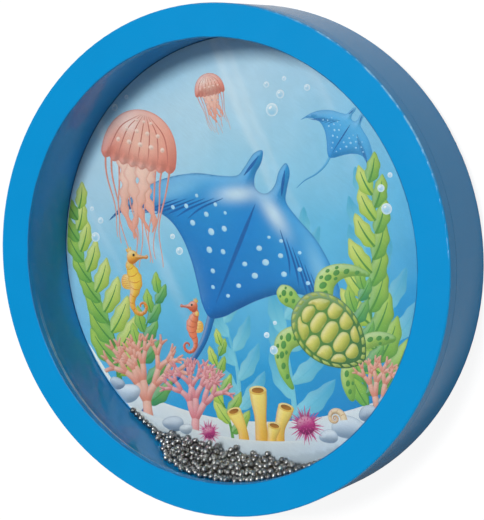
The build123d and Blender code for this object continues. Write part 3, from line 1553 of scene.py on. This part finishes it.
@dataclass
class SeaTurtle(Motif):
    """A turtle seen from above, heading up in its own units, with a shell 2 units long."""

    placing: Placing
    skin: Wash
    blotch: Wash
    shell: Wash
    plate: Wash
    margin: Wash

    SHELL = (
        (0.0, 1.0), (0.30, 0.95), (0.57, 0.74), (0.73, 0.40), (0.77, 0.02), (0.68, -0.38), (0.47, -0.75),
        (0.22, -0.98), (0.0, -1.08),
    )
    FRONT = (
        (0.45, 0.72), (0.70, 0.93), (1.02, 0.96), (1.34, 0.76), (1.60, 0.40), (1.70, 0.02), (1.62, -0.06),
        (1.44, 0.20), (1.18, 0.42), (0.92, 0.48), (0.66, 0.40),
    )
    REAR = (
        (0.34, -0.72), (0.56, -0.76), (0.80, -0.98), (0.94, -1.28), (0.88, -1.40), (0.68, -1.30),
        (0.46, -1.10), (0.26, -0.96),
    )
    TAIL = ((0.07, -1.0), (0.03, -1.2), (0.0, -1.3), (-0.03, -1.2), (-0.07, -1.0))
    HEAD = ((0.0, 1.58), (0.13, 1.54), (0.22, 1.38), (0.22, 1.20), (0.17, 1.04), (0.19, 0.86), (0.0, 0.84))
    FRONT_BLOTCHES = (
        (0.76, 0.72, 0.09), (0.98, 0.72, 0.085), (1.20, 0.62, 0.075), (1.38, 0.44, 0.07), (1.52, 0.22, 0.055),
        (0.88, 0.86, 0.05), (1.10, 0.82, 0.05), (1.30, 0.68, 0.045), (0.66, 0.58, 0.06), (1.08, 0.56, 0.045),
    )
    REAR_BLOTCHES = ((0.50, -0.90, 0.07), (0.66, -1.05, 0.065), (0.78, -1.20, 0.055), (0.58, -1.14, 0.04))
    HEAD_BLOTCHES = (
        (0.0, 1.40, 0.075), (0.10, 1.25, 0.06), (-0.10, 1.25, 0.06), (0.0, 1.10, 0.055), (0.12, 1.43, 0.035),
        (-0.12, 1.43, 0.035),
    )
    CROSSINGS = (0.80, 0.50, 0.16, -0.21, -0.57, -0.88)
    NARROW = (0.11, 0.19, 0.22, 0.21, 0.17, 0.09)
    WIDE = (0.27, 0.33, 0.345, 0.32, 0.22)
    PLATES_REACH = 0.85
    PLATE_GAP, MARGIN_GAP = 0.10, 0.07
    MARGINS = 24
    MARGIN_REACH = (0.975, 0.885)

    def _rim(self, level: float, share: float) -> float:
        """Find the edge of the shell, drawn in towards its middle.

        Args:
            level: how far up the shell.
            share: the share that it is drawn in to.

        Returns:
            The half width there.
        """
        outline = loop_through(mirrored(self.SHELL), 8)
        right = outline[outline[:, 0] >= 0]
        right = right[np.argsort(right[:, 1])]
        return share * float(np.interp(level / share, right[:, 1], right[:, 0]))

    def _plates(self) -> list[list[Pair]]:
        """Lay out the plates of the back.

        Returns:
            The corners of each plate, the middle row first.
        """
        found: list[list[Pair]] = []
        middles = [(high + low) / 2 for high, low in zip(self.CROSSINGS, self.CROSSINGS[1:])]
        for place, middle in enumerate(middles):
            high, low = self.CROSSINGS[place], self.CROSSINGS[place + 1]
            half = [(self.NARROW[place], high), (self.WIDE[place], middle), (self.NARROW[place + 1], low)]
            found.append(half + [(-x, y) for x, y in reversed(half)])
        for place in range(len(middles) - 1):
            high, low = middles[place], middles[place + 1]
            if place == 0:
                high = self.CROSSINGS[0]
            inner = [(self.WIDE[place] if place else self.NARROW[0] + 0.02, high)]
            if place == 0:
                inner.append((self.WIDE[0], middles[0]))
            inner += [(self.NARROW[place + 1], self.CROSSINGS[place + 1]), (self.WIDE[place + 1], low)]
            outer = [(self._rim(level, self.PLATES_REACH), level) for level in np.linspace(low, high, 4)]
            corners = inner + outer
            found += [corners, [(-x, y) for x, y in corners]]
        return found

    def paint(self, pad: Pad) -> None:
        """Paint the limbs with their blotches, then the shell and its plates.

        Args:
            pad: the piece that it is painted on.
        """
        limbs = [loop_through(mirrored(self.HEAD), 6)]
        for side in (-1, 1):
            for half in (self.FRONT, self.REAR):
                limbs.append(loop_through([(side * x, y) for x, y in half], 6))
        limbs.append(loop_through(self.TAIL, 4))
        for limb in limbs:
            pad.blot(limb, self.skin, 0.8)
        pad.over()
        pad.dots(self.HEAD_BLOTCHES, (1.0, 0.82), 20, self.blotch)
        pad.dots(self.FRONT_BLOTCHES + self.REAR_BLOTCHES, (1.15, 0.8), -25, self.blotch, (-1, 1))
        pad.over()
        pad.blot(loop_through(mirrored(self.SHELL), 8), self.shell, 0.9)
        pad.over()
        for corners in self._plates():
            pad.blot(rounded(shrunk(corners, self.PLATE_GAP)), self.plate, 0.6)
        outline = loop_through(mirrored(self.SHELL), 12)
        outer_reach, inner_reach = self.MARGIN_REACH
        for place in range(self.MARGINS):
            start, end = (int(len(outline) * (place + shift) / self.MARGINS) for shift in (0, 1))
            outer = [outline[step % len(outline)] * outer_reach for step in range(start, end + 1, 3)]
            inner = [outline[step % len(outline)] * inner_reach for step in range(end, start - 1, -3)]
            pad.blot(rounded(shrunk(outer + inner, self.MARGIN_GAP), 1), self.margin, 0.6)


@dataclass
class Seahorse(Motif):
    """A seahorse in profile, about 2 units tall, looking left in its own units."""

    placing: Placing
    body: Wash
    ring: Wash
    fin: Wash
    ray: Wash
    eye: Wash

    SPINE = (
        (0.02, 0.74), (0.12, 0.58), (0.05, 0.34), (0.0, 0.10), (0.06, -0.16), (0.19, -0.40), (0.20, -0.65),
        (0.05, -0.84), (-0.15, -0.83), (-0.25, -0.68), (-0.18, -0.55), (-0.06, -0.58), (-0.06, -0.67),
    )
    GIRTH = (0.13, 0.125, 0.20, 0.235, 0.165, 0.105, 0.080, 0.066, 0.056, 0.047, 0.040, 0.032, 0.020)
    HEAD = (
        (0.14, 0.66), (0.18, 0.82), (0.12, 0.95), (0.0, 1.0), (-0.13, 0.95), (-0.22, 0.85),
        (-0.40, 0.79), (-0.50, 0.81), (-0.54, 0.745), (-0.49, 0.69), (-0.38, 0.71), (-0.22, 0.70),
        (-0.10, 0.63), (0.02, 0.60),
    )
    CROWN = ((0.02, 0.97), (0.0, 1.10), (0.05, 1.05), (0.09, 1.14), (0.12, 1.05), (0.18, 1.06), (0.14, 0.94))
    BACK_FIN = ((0.13, 0.24), (0.34, 0.33), (0.46, 0.22), (0.48, 0.05), (0.40, -0.08), (0.15, -0.10))
    CHEEK_FIN = ((0.10, 0.60), (0.19, 0.66), (0.26, 0.58), (0.22, 0.48), (0.13, 0.50))
    EYE_AT = (-0.06, 0.85)
    EYE_REACH = (0.042, 0.042)
    RIDGES = 15

    def paint(self, pad: Pad) -> None:
        """Paint the fins, the body with its rings, the head, the crown and the eye.

        Args:
            pad: the piece that it is painted on.
        """
        pad.blot(loop_through(self.BACK_FIN, 6), self.fin, 0.6)
        pad.over()
        for number in range(6):
            start = (0.14, 0.17 - 0.045 * number)
            end = (0.36 + 0.10 * math.sin(0.6 * number + 0.4), 0.26 - 0.062 * number)
            pad.stroke(line_through([start, end], 8), np.linspace(0.008, 0.003, 8), self.ray)
        pad.over()
        spine = line_through(self.SPINE, 90)
        girth = np.interp(np.linspace(0, 1, 90), np.linspace(0, 1, len(self.GIRTH)), self.GIRTH)
        ridged = girth * (1 + 0.07 * np.sin(np.linspace(0, 2 * np.pi * self.RIDGES, 90)))
        pad.stroke(spine, ridged, self.body)
        pad.over()
        heading = np.gradient(spine, axis=0)
        heading /= np.linalg.norm(heading, axis=1)[:, None]
        for place in range(10, 82, 6):
            side = np.array([-heading[place][1], heading[place][0]])
            half = 0.86 * girth[place]
            bowed = spine[place] + 0.25 * girth[place] * heading[place]
            line = line_through([spine[place] - half * side, bowed, spine[place] + half * side], 10)
            pad.stroke(line, swelling(0.011, 10, end=2.9), self.ring)
        pad.over()
        pad.blot(loop_through(self.CROWN, 4), self.fin, 0.6)
        pad.over()
        pad.blot(loop_through(self.HEAD, 6), self.body, 0.6)
        pad.blot(loop_through(self.CHEEK_FIN, 5), self.fin, 0.6)
        pad.over()
        pad.blot(oval(self.EYE_AT, self.EYE_REACH, 0, 16), self.eye, 0.4)


@dataclass(frozen=True)
class Palette:
    """The paints of the picture, each named for what it paints."""

    far_weed: Wash = Wash("#7fcfe0", "#4fb0d4", "#5fbdd9", edge_share=0.25, relief=0.1)
    sand: Wash = Wash("#f6f3ea", "#c9d6df", "#fbfaf4", relief=0.25, relief_width=5.0, edge_share=0.35)
    near_sand: Wash = Wash("#f2efe4", "#bccbd6", "#faf8f0", relief=0.25, relief_width=5.0, edge_share=0.35)
    stem: Wash = Wash("#5d9a3c", "#3f8b4c", "#3c7f43", relief=0.0)
    lime_leaf: Wash = Wash("#a9cb4e", "#dbe27e", "#7fae43", relief=0.25)
    leaf: Wash = Wash("#6fb04a", "#b4d25c", "#4f9448", relief=0.25)
    deep_leaf: Wash = Wash("#3e9a62", "#7dbb58", "#2f8055", relief=0.25)
    coral: Wash = Wash("#e58f78", "#f6c1aa", "#cf705c", relief=0.4, relief_width=1.2)
    rose_coral: Wash = Wash("#dd7f86", "#f3b5b4", "#c4636c", relief=0.4, relief_width=1.2)
    stone: Wash = Wash("#e4eaee", "#93a9bd", "#8399ad", relief=0.4)
    slate: Wash = Wash("#cfd9e2", "#7f97b0", "#6f87a0", relief=0.4)
    bell: Wash = Wash(
        "#f3a68f", "#e27a66", "#cc5d4d", relief=0.35, relief_width=4.0,
        glazes=(
            Glaze((0.0, 0.42), (0.62, 0.45), "#f9cbb4", 0.75),
            Glaze((-0.35, 0.72), (0.26, 0.17), "#fdeadf", 0.75, 30.0),
            Glaze((0.0, -0.16), (0.95, 0.10), "#fbd8c8", 0.55),
        ),
    )
    bell_under: Wash = Wash("#d4705d", "#e08974", "#bf5848")
    bell_arm: Wash = Wash("#f9d2bf", "#f0a58d", "#dd8169", relief=0.2)
    bell_thread: Wash = Wash("#e8957f", "#f4bda8", "#d97f69")
    bell_spot: Wash = Wash("#fde3d4", "#fbd3bf", "#f4b9a2")
    ray: Wash = Wash(
        "#2ba3e0", "#0069b6", "#00549a", relief=0.42, relief_width=3.4, gleam="#a8dcf5",
        glazes=(
            Glaze((0.0, 0.10), (0.22, 0.55), "#0a80c9", 0.85),
            Glaze((0.17, 0.30), (0.17, 0.06), "#d9edf6", 0.85, -28.0),
            Glaze((-0.17, 0.30), (0.17, 0.06), "#d9edf6", 0.85, 28.0),
            Glaze((0.66, 0.10), (0.24, 0.07), "#8fd0ee", 0.65, -42.0),
            Glaze((-0.66, 0.10), (0.24, 0.07), "#8fd0ee", 0.65, 42.0),
            Glaze((0.98, -0.24), (0.14, 0.12), "#0a4e92", 0.7),
            Glaze((-0.98, -0.24), (0.14, 0.12), "#0a4e92", 0.7),
        ),
    )
    ray_tail: Wash = Wash("#1a78bd", "#0a5596", "#0a4f90")
    small_ray: Wash = Wash("#63bfe9", "#1b8fd2", "#1780c2", relief=0.35, relief_width=2.0, gleam="#b9e3f6")
    ray_spot: Wash = Wash("#cfe9f5", "#a5d6ec", "#8dc8e4", relief=0.0)
    ray_fold: Wash = Wash("#0a5699", "#0e62a8", "#0a5699", relief=0.0, edge_share=0.2)
    skin: Wash = Wash("#b9d468", "#7fb850", "#5d9a45", relief=0.35)
    blotch: Wash = Wash("#5c9f4e", "#47893f", "#3f7f3b", relief=0.0, edge_share=0.4)
    shell: Wash = Wash("#5e8f3c", "#3f7440", "#2f6338", relief=0.3)
    plate: Wash = Wash("#f0e07a", "#b5bd4c", "#8a9c3d", relief=0.35, relief_width=1.6)
    margin: Wash = Wash("#dbd96f", "#9db648", "#7c9c3f", relief=0.3, relief_width=1.0)
    horse: Wash = Wash("#f9d44c", "#ee8a2f", "#d8741f", relief=0.5, relief_width=1.6, edge_share=0.5)
    horse_ring: Wash = Wash("#e2852c", "#d06a22", "#d06a22", relief=0.0, edge_share=0.2)
    ember: Wash = Wash("#f08a5c", "#dc5f3c", "#c94c30", relief=0.5, relief_width=1.6, edge_share=0.5)
    ember_ring: Wash = Wash("#c94f33", "#b8432c", "#b8432c", relief=0.0, edge_share=0.2)
    fin: Wash = Wash("#fbe58a", "#f4b84a", "#e59a35", heading=0.0, relief=0.2)
    eye: Wash = Wash("#20242c", "#20242c", "#20242c", relief=0.0)
    spine: Wash = Wash("#c42f7d", "#ee78ad", "#b02a72", relief=0.0)
    core: Wash = Wash("#d9428c", "#8f1f63", "#8f1f63", relief=0.4)
    cream: Wash = Wash("#f7dfb4", "#e0a465", "#b9793f", relief=0.5, relief_width=1.6)
    band: Wash = Wash("#b8713c", "#c9824a", "#b8713c", relief=0.0)
    tube: Wash = Wash("#fbe37a", "#eeb03a", "#cf8b2a", relief=0.45, relief_width=1.8)
    tube_lip: Wash = Wash("#fdf0a8", "#f6cf5c", "#d89a34", relief=0.1)
    tube_mouth: Wash = Wash("#8f5a1e", "#c07f2c", "#8f5a1e", relief=0.0)
    bubble: Wash = Wash("#cdeaf5", "#8fcbe6", "#ffffff", relief=0.0, edge_share=0.9, edge_width=0.35)
    glint: Wash = Wash("#ffffff", "#ffffff", "#ffffff", relief=0.0)


@dataclass
class SeaPrint:
    """The painted picture on the card: its water, and the motifs as thin layers of paint."""

    sheet: str = "picture_sheet"
    body: str = "drum"
    slot: str = "printed_card"
    margin: float = 0.4
    paints: Palette = Palette()

    FAR_CREST = ((-95, -44), (-70, -52), (-45, -61), (-15, -67), (20, -66), (55, -57), (95, -40))
    NEAR_CREST = ((-95, -52), (-70, -60), (-42, -69), (-8, -75), (30, -73), (60, -63), (95, -46))
    TUBES = (
        (-0.42, 0.80, -16.0, 0.15), (0.36, 0.92, 13.0, 0.16), (-0.02, 1.22, -2.0, 0.18),
        (0.20, 0.52, 9.0, 0.14),
    )
    STONES = (
        (-61, -58, 6.5, 4.0, 8), (-66, -54, 3.8, 2.7, -10), (42, -68, 8.0, 4.6, -6),
        (51, -62, 4.6, 3.2, 12), (33, -72, 4.2, 2.8, 4), (-39, -70, 5.2, 3.2, 0),
        (-33, -72, 3.2, 2.2, 10), (58, -57, 3.0, 2.1, 20),
    )
    BUBBLES = (
        (14, 58, 2.6), (18, 64, 1.7), (12, 68, 1.2), (20, 70, 0.9), (62, 18, 2.2), (60, 26, 1.5),
        (64, 31, 1.0), (-73, 8, 2.0), (-70, 15, 1.3), (-74, 20, 0.9), (-32, 2, 1.6), (-35, 8, 1.1),
        (10, -38, 1.8), (7, -32, 1.2), (11, -27, 0.8), (-60, 62, 1.4), (-54, 66, 0.9), (30, 66, 1.3),
    )

    def _far(self) -> dict[str, list[Motif]]:
        """Give the motifs of the distance and the open water, from back to front.

        Returns:
            The motifs of each piece, by the piece's name.
        """
        paints = self.paints
        weed, weeds = paints.far_weed, (paints.far_weed,)
        jelly = (paints.bell, paints.bell_under, paints.bell_arm, paints.bell_thread, paints.bell_spot)
        marks = (paints.ray_spot, paints.ray_fold)
        return {
            "print_far_weed": [
                Kelp(Placing((-8, -68), 66, 4), weed, weeds, 11, 0.05, 0.4),
                Kelp(Placing((16, -70), 78, -5), weed, weeds, 12, 0.06, 2.0),
                Kelp(Placing((62, -52), 76, 6), weed, weeds, 12, 0.05, 1.1),
            ],
            "print_sand": [Dune(self.FAR_CREST, paints.sand)],
            "print_manta": [
                MantaRay(Placing((45, 47), 17, -38), paints.small_ray, paints.small_ray, *marks),
                MantaRay(Placing((-3, 6), 55, -27), paints.ray, paints.ray_tail, *marks),
            ],
            "print_jellyfish": [
                Jellyfish(Placing((-14, 66), 7.0, 8), *jelly, 0.3, 5),
                Jellyfish(Placing((-50, 40), 18.5, -14), *jelly, 0.45, 3),
            ],
        }

    def _garden(self) -> dict[str, list[Motif]]:
        """Give the plants, the turtle, the coral and the sponge, from back to front.

        Returns:
            The motifs of each piece, by the piece's name.
        """
        paints = self.paints
        stem, leaf, lime, deep = paints.stem, paints.leaf, paints.lime_leaf, paints.deep_leaf
        turtle = (paints.skin, paints.blotch, paints.shell, paints.plate, paints.margin)
        sponge = (paints.tube, paints.tube_lip, paints.tube_mouth)
        return {
            "print_kelp": [
                Kelp(Placing((-66, -57), 80, 9), stem, (lime, leaf), 17, 0.06, 0.8, 0.25, 0.048),
                Kelp(Placing((-52, -66), 52, -5), stem, (deep, leaf), 12, 0.07, 2.3, 0.30, 0.058),
                Kelp(Placing((-12, -76), 40, 6), stem, (leaf, lime), 10, 0.07, 1.7, 0.32, 0.06),
                Kelp(Placing((61, -58), 88, 8), stem, (leaf, lime), 17, 0.06, 3.4, 0.24, 0.045),
                Kelp(Placing((48, -68), 56, -3), stem, (deep, leaf), 12, 0.07, 1.2, 0.30, 0.055),
            ],
            "print_turtle": [SeaTurtle(Placing((35, -30), 17.5, 52), *turtle)],
            "print_sea_fan": [
                SeaFan(Placing((-50, -72), 42, 12), paints.coral, 4, 6, 0.06),
                SeaFan(Placing((-29, -77), 36, -4), paints.rose_coral, 11, 6, 0.06),
                SeaFan(Placing((52, -70), 32, -14), paints.coral, 21, 6, 0.06),
            ],
            "print_sponge": [TubeSponge(Placing((3, -79), 20), *sponge, self.TUBES)],
        }

    def _near(self) -> dict[str, list[Motif]]:
        """Give the motifs nearest to the eye, from back to front.

        Returns:
            The motifs of each piece, by the piece's name.
        """
        paints = self.paints
        horse = (paints.horse, paints.horse_ring, paints.fin, paints.horse_ring, paints.eye)
        ember = (paints.ember, paints.ember_ring, paints.fin, paints.ember_ring, paints.eye)
        return {
            "print_stones": [
                Dune(self.NEAR_CREST, paints.near_sand),
                Pebbles(self.STONES, (paints.stone, paints.slate)),
                Urchin(Placing((23, -68), 8.0), paints.spine, paints.core),
                SpiralShell(Placing((36, -64.5), 5.4, 20), paints.cream, paints.band),
                Urchin(Placing((-22, -73), 5.4), paints.spine, paints.core),
            ],
            "print_seahorses": [
                Seahorse(Placing((-54, -12), 14.5, 6, True), *horse),
                Seahorse(Placing((-28, -30), 11.5, -8), *ember),
            ],
            "print_bubbles": [Bubbles(self.BUBBLES, paints.bubble, paints.glint)],
        }

    def build(self, frame: dict[str, Any], shelf: EffectShelf) -> None:
        """Paint the card and its motifs.

        Args:
            frame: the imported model.
            shelf: the shared effects.
        """
        low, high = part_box(self.sheet)
        dress(frame["nodes"][self.sheet], WaterWash().make("painted_water", shelf))
        stack = InkStack(high.z / MM, (high.x - low.x) / 2 / MM - self.margin)
        gouache = Gouache()
        material = gouache.make("gouache", shelf)
        layers = self._far() | self._garden() | self._near()
        for name, motifs in layers.items():
            pad = Pad(name, stack)
            for motif in motifs:
                pad.over()
                pad.placing = motif.placing
                motif.paint(pad)
            piece = pad.finished(gouache.attribute, material)
            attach(piece, self.body)
            LOG.info("%s: %d faces of paint", name, len(piece.data.polygons))
        LOG.info("paint stands %.3f mm above the card", stack.level() - stack.card_face)


# The drum


def dress(node: bpy.types.Object, material: Material) -> None:
    """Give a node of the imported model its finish.

    Args:
        node: the node's object.
        material: its finish.
    """
    node.data.materials.clear()
    node.data.materials.append(material)
    LOG.info("%s: dressed in %s", node.name, material.name)


@dataclass
class DrumShell:
    """The lacquered wooden layers: front ring, hoop and back panel."""

    face: Lacquer = Lacquer()
    wall: Lacquer = Lacquer(roughness=0.1, gloss=0.34, scuffs=0.05)
    rim_width: float = 13.2 * MM
    lip: float = 1.7 * MM
    rebate: float = 3.1 * MM
    edge_reach: float = 0.65 * MM
    # arc of the painted edge highlight, on the side that the light catches
    highlight_arc: Pair = (43.0, 34.0)
    seam_reach: float = 0.5 * MM
    # the painted highlight lines along the window's edges, on the side that the light catches
    edge_glint_reach: float = 0.5 * MM
    edge_glint_arc: Pair = (-140.0, 34.0)
    edge_glint_drop: float = 1.2 * MM
    corner_shade_reach: float = 1.0 * MM
    back_inset: float = 1.3 * MM
    front_rub_highlight: float = 0.75
    back_rub_highlight: float = 0.35
    lip_shade: float = 0.6
    seam_dust: float = 0.12
    edge_glint_share: float = 0.9
    corner_shade_share: float = 0.5

    def build(self, frame: dict[str, Any], shelf: EffectShelf) -> None:
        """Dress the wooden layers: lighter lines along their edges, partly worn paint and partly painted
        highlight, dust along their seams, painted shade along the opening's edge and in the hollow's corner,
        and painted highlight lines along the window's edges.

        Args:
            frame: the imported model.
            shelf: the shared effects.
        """
        ring_low, ring_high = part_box("front_ring")
        hoop_low, hoop_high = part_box("hoop")
        panel_low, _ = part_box("back_panel")
        outer = ring_high.x
        opening = outer - self.rim_width
        bore = opening + self.lip
        front, back = hoop_high.z, hoop_low.z

        def rubbed_highlight(radius: float, level: float, share: float) -> RingWearAndLight:
            """Lighten the coat along an edge: worn paint, and a painted highlight on the side where the light
            catches it.
            """
            return RingWearAndLight(radius, level, self.edge_reach, WearAndLightKind.RUBBED_HIGHLIGHT, share, self.highlight_arc)

        def dust_and_shade(radius: float, level: float, reach: float, share: float) -> RingWearAndLight:
            """Darken the coat along a seam, as dust, or along the opening's edge, as painted shade that dulls
            its highlight.
            """
            return RingWearAndLight(radius, level, reach, WearAndLightKind.DUST_AND_SHADE, share)

        def edge_glint(radius: float, level: float) -> RingWearAndLight:
            """Paint a pale highlight line along an edge of the hollow, on the side where the light catches
            the window's edge.
            """
            return RingWearAndLight(radius, level, self.edge_glint_reach, WearAndLightKind.EDGE_GLINT, self.edge_glint_share, self.edge_glint_arc)

        front_seam, back_seam = (
            dust_and_shade(outer, level, self.seam_reach, self.seam_dust) for level in (front, back)
        )
        # painted shade in the corner where the hoop's wall meets the card
        corner_shade = RingWearAndLight(bore, back, self.corner_shade_reach, WearAndLightKind.CORNER_SHADE, self.corner_shade_share)
        wear_and_light = {
            "front_ring": (
                rubbed_highlight(outer, ring_high.z, self.front_rub_highlight),
                # painted shade along the opening's edge, which dulls its highlight
                dust_and_shade(opening, ring_high.z, self.edge_reach, self.lip_shade),
                edge_glint(opening, ring_low.z + self.rebate),
                front_seam,
            ),
            "hoop": (front_seam, back_seam, edge_glint(bore, front - self.edge_glint_drop), corner_shade),
            "back_panel": (
                rubbed_highlight(outer - self.back_inset, panel_low.z + self.back_inset, self.back_rub_highlight),
                back_seam,
                corner_shade,
            ),
        }
        for name, rings in wear_and_light.items():
            lacquer = replace(self.wall if name == "hoop" else self.face, wear_and_light=rings)
            dress(frame["nodes"][name], lacquer.make(f"blue_lacquer_{name}", shelf))


@dataclass
class Window:
    """The clear disc in front of the balls."""

    sheet: ClearSheet = ClearSheet()

    def build(self, frame: dict[str, Any], shelf: EffectShelf) -> None:
        """Dress the window in its clear sheet."""
        dress(frame["nodes"]["window"], self.sheet.make("window_clear_sheet", shelf))


@dataclass
class BallHeap:
    """The loose steel balls, in the groups that run round the rim."""

    steel: BallSteel = BallSteel()
    prefix: str = "steel_balls"

    def build(self, frame: dict[str, Any], shelf: EffectShelf) -> None:
        """Dress every group of balls in steel.

        Args:
            frame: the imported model.
            shelf: the shared effects.
        """
        material = self.steel.make("ball_bright_steel", shelf)
        for name in sorted(frame["nodes"]):
            if name.startswith(self.prefix):
                dress(frame["nodes"][name], material)


# The studio


@dataclass
class Lamp:
    """A square studio lamp that looks at a point, in metres."""

    name: str
    at: Triple
    aim: Triple
    side: float
    watts: float

    def build(self) -> None:
        """Hang the lamp."""
        light = bpy.data.lights.new(self.name, "AREA")
        light.shape = "SQUARE"
        light.size = self.side
        light.energy = self.watts
        lamp = bpy.data.objects.new(self.name, light)
        lamp.location = self.at
        lamp.rotation_euler = (Vector(self.aim) - Vector(self.at)).to_track_quat("-Z", "Y").to_euler()
        bpy.context.scene.collection.objects.link(lamp)


@dataclass
class PhotoCamera:
    """The camera at the photograph's viewing angle, in metres and pixels."""

    at: Triple = (0.352519, 0.058246, 0.634762)
    aim: Triple = (0.014008, 0.001092, 0.0355)
    up: Triple = (0.0, 0.99548, -0.09494)
    focal_pixels: float = 1800.0
    frame_pixels: float = 520.0
    sensor: float = 36.0

    def build(self) -> None:
        """Set the camera up and make it the scene's own."""
        data = bpy.data.cameras.new("photo_camera")
        data.sensor_width = self.sensor
        data.lens = self.sensor * self.focal_pixels / self.frame_pixels
        data.clip_start = 0.01
        camera = bpy.data.objects.new("photo_camera", data)
        ahead = (Vector(self.aim) - Vector(self.at)).normalized()
        right = ahead.cross(Vector(self.up)).normalized()
        over = right.cross(ahead)
        turn = Matrix((right, over, -ahead)).transposed().to_4x4()
        camera.matrix_world = Matrix.Translation(Vector(self.at)) @ turn
        bpy.context.scene.collection.objects.link(camera)
        bpy.context.scene.camera = camera


@dataclass
class Studio:
    """The pale floor, the soft light and the white surroundings."""

    half_floor: float = 4.0
    floor_level: float = -0.0003
    floor_albedo: float = 0.45
    seen_glow: float = 0.89
    seen_albedo: float = 0.15
    mirrored_albedo: float = 0.55
    fill: float = 0.28
    zenith: float = 0.05
    sky_fade: Pair = (0.20, 0.62)
    lamps: tuple[Lamp, ...] = (
        Lamp("key_lamp", (0.0, 0.62, 2.48), (0.0, 0.0, 0.02), 0.5, 48.0),
    )

    def _floor(self) -> None:
        """Lay the floor, white to the eye but for the drum's shadow."""
        mesh = bpy.data.meshes.new("floor")
        far = self.half_floor
        mesh.from_pydata([(-far, -far, 0), (far, -far, 0), (far, far, 0), (-far, far, 0)], [], [(0, 1, 2, 3)])
        floor = bpy.data.objects.new("floor", mesh)
        floor.location.z = self.floor_level
        bpy.context.scene.collection.objects.link(floor)
        material = bpy.data.materials.new("floor_white")
        graph = Graph.afresh(material)
        albedos = (self.floor_albedo, self.mirrored_albedo, self.seen_albedo)
        plain, mirrored, seen = (
            graph.wired("ShaderNodeBsdfDiffuse", (albedo,) * 3 + (1.0,)).outputs[0] for albedo in albedos
        )
        glow = graph.wired("ShaderNodeEmission", None, self.seen_glow).outputs[0]
        bright = graph.wired("ShaderNodeAddShader", seen, glow).outputs[0]
        rays = graph.node("ShaderNodeLightPath").outputs
        unseen = graph.blend(rays["Is Glossy Ray"], plain, mirrored)
        looked_at = graph.math("MAXIMUM", rays["Is Camera Ray"], rays["Is Transmission Ray"])
        graph.surface(graph.blend(looked_at, unseen, bright))
        mesh.materials.append(material)

    def _surroundings(self) -> None:
        """Put a white surround about the floor, dark overhead in reflections, and a dim even fill."""
        world = bpy.data.worlds.new("studio")
        bpy.context.scene.world = world
        graph = Graph.afresh(world)
        _, _, height = graph.split(graph.node("ShaderNodeTexCoord").outputs["Generated"])
        mirrored_sky = graph.step(height, *self.sky_fade, 1.0, self.zenith)
        rays = graph.node("ShaderNodeLightPath").outputs
        carried = graph.math("MAXIMUM", rays["Is Glossy Ray"], rays["Is Transmission Ray"])
        beyond_fill = graph.math("SUBTRACT", mirrored_sky, self.fill)
        strength = graph.math("MULTIPLY_ADD", carried, beyond_fill, self.fill)
        strength = graph.math("MAXIMUM", strength, rays["Is Camera Ray"])
        sky = graph.wired("ShaderNodeBackground", (1.0, 1.0, 1.0, 1.0), strength)
        graph.surface(sky.outputs[0], "ShaderNodeOutputWorld")

    def build(self) -> None:
        """Lay the floor, hang the lamps and set the plain view."""
        self._floor()
        self._surroundings()
        for lamp in self.lamps:
            lamp.build()
        bpy.context.scene.view_settings.view_transform = "Standard"


def main() -> None:
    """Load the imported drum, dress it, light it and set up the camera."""
    logging.basicConfig(level=logging.INFO, format="%(message)s")
    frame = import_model()
    shelf = EffectShelf()
    DrumShell().build(frame, shelf)
    Window().build(frame, shelf)
    BallHeap().build(frame, shelf)
    SeaPrint().build(frame, shelf)
    Studio().build()
    PhotoCamera().build()


if __name__ == "__main__":
    main()
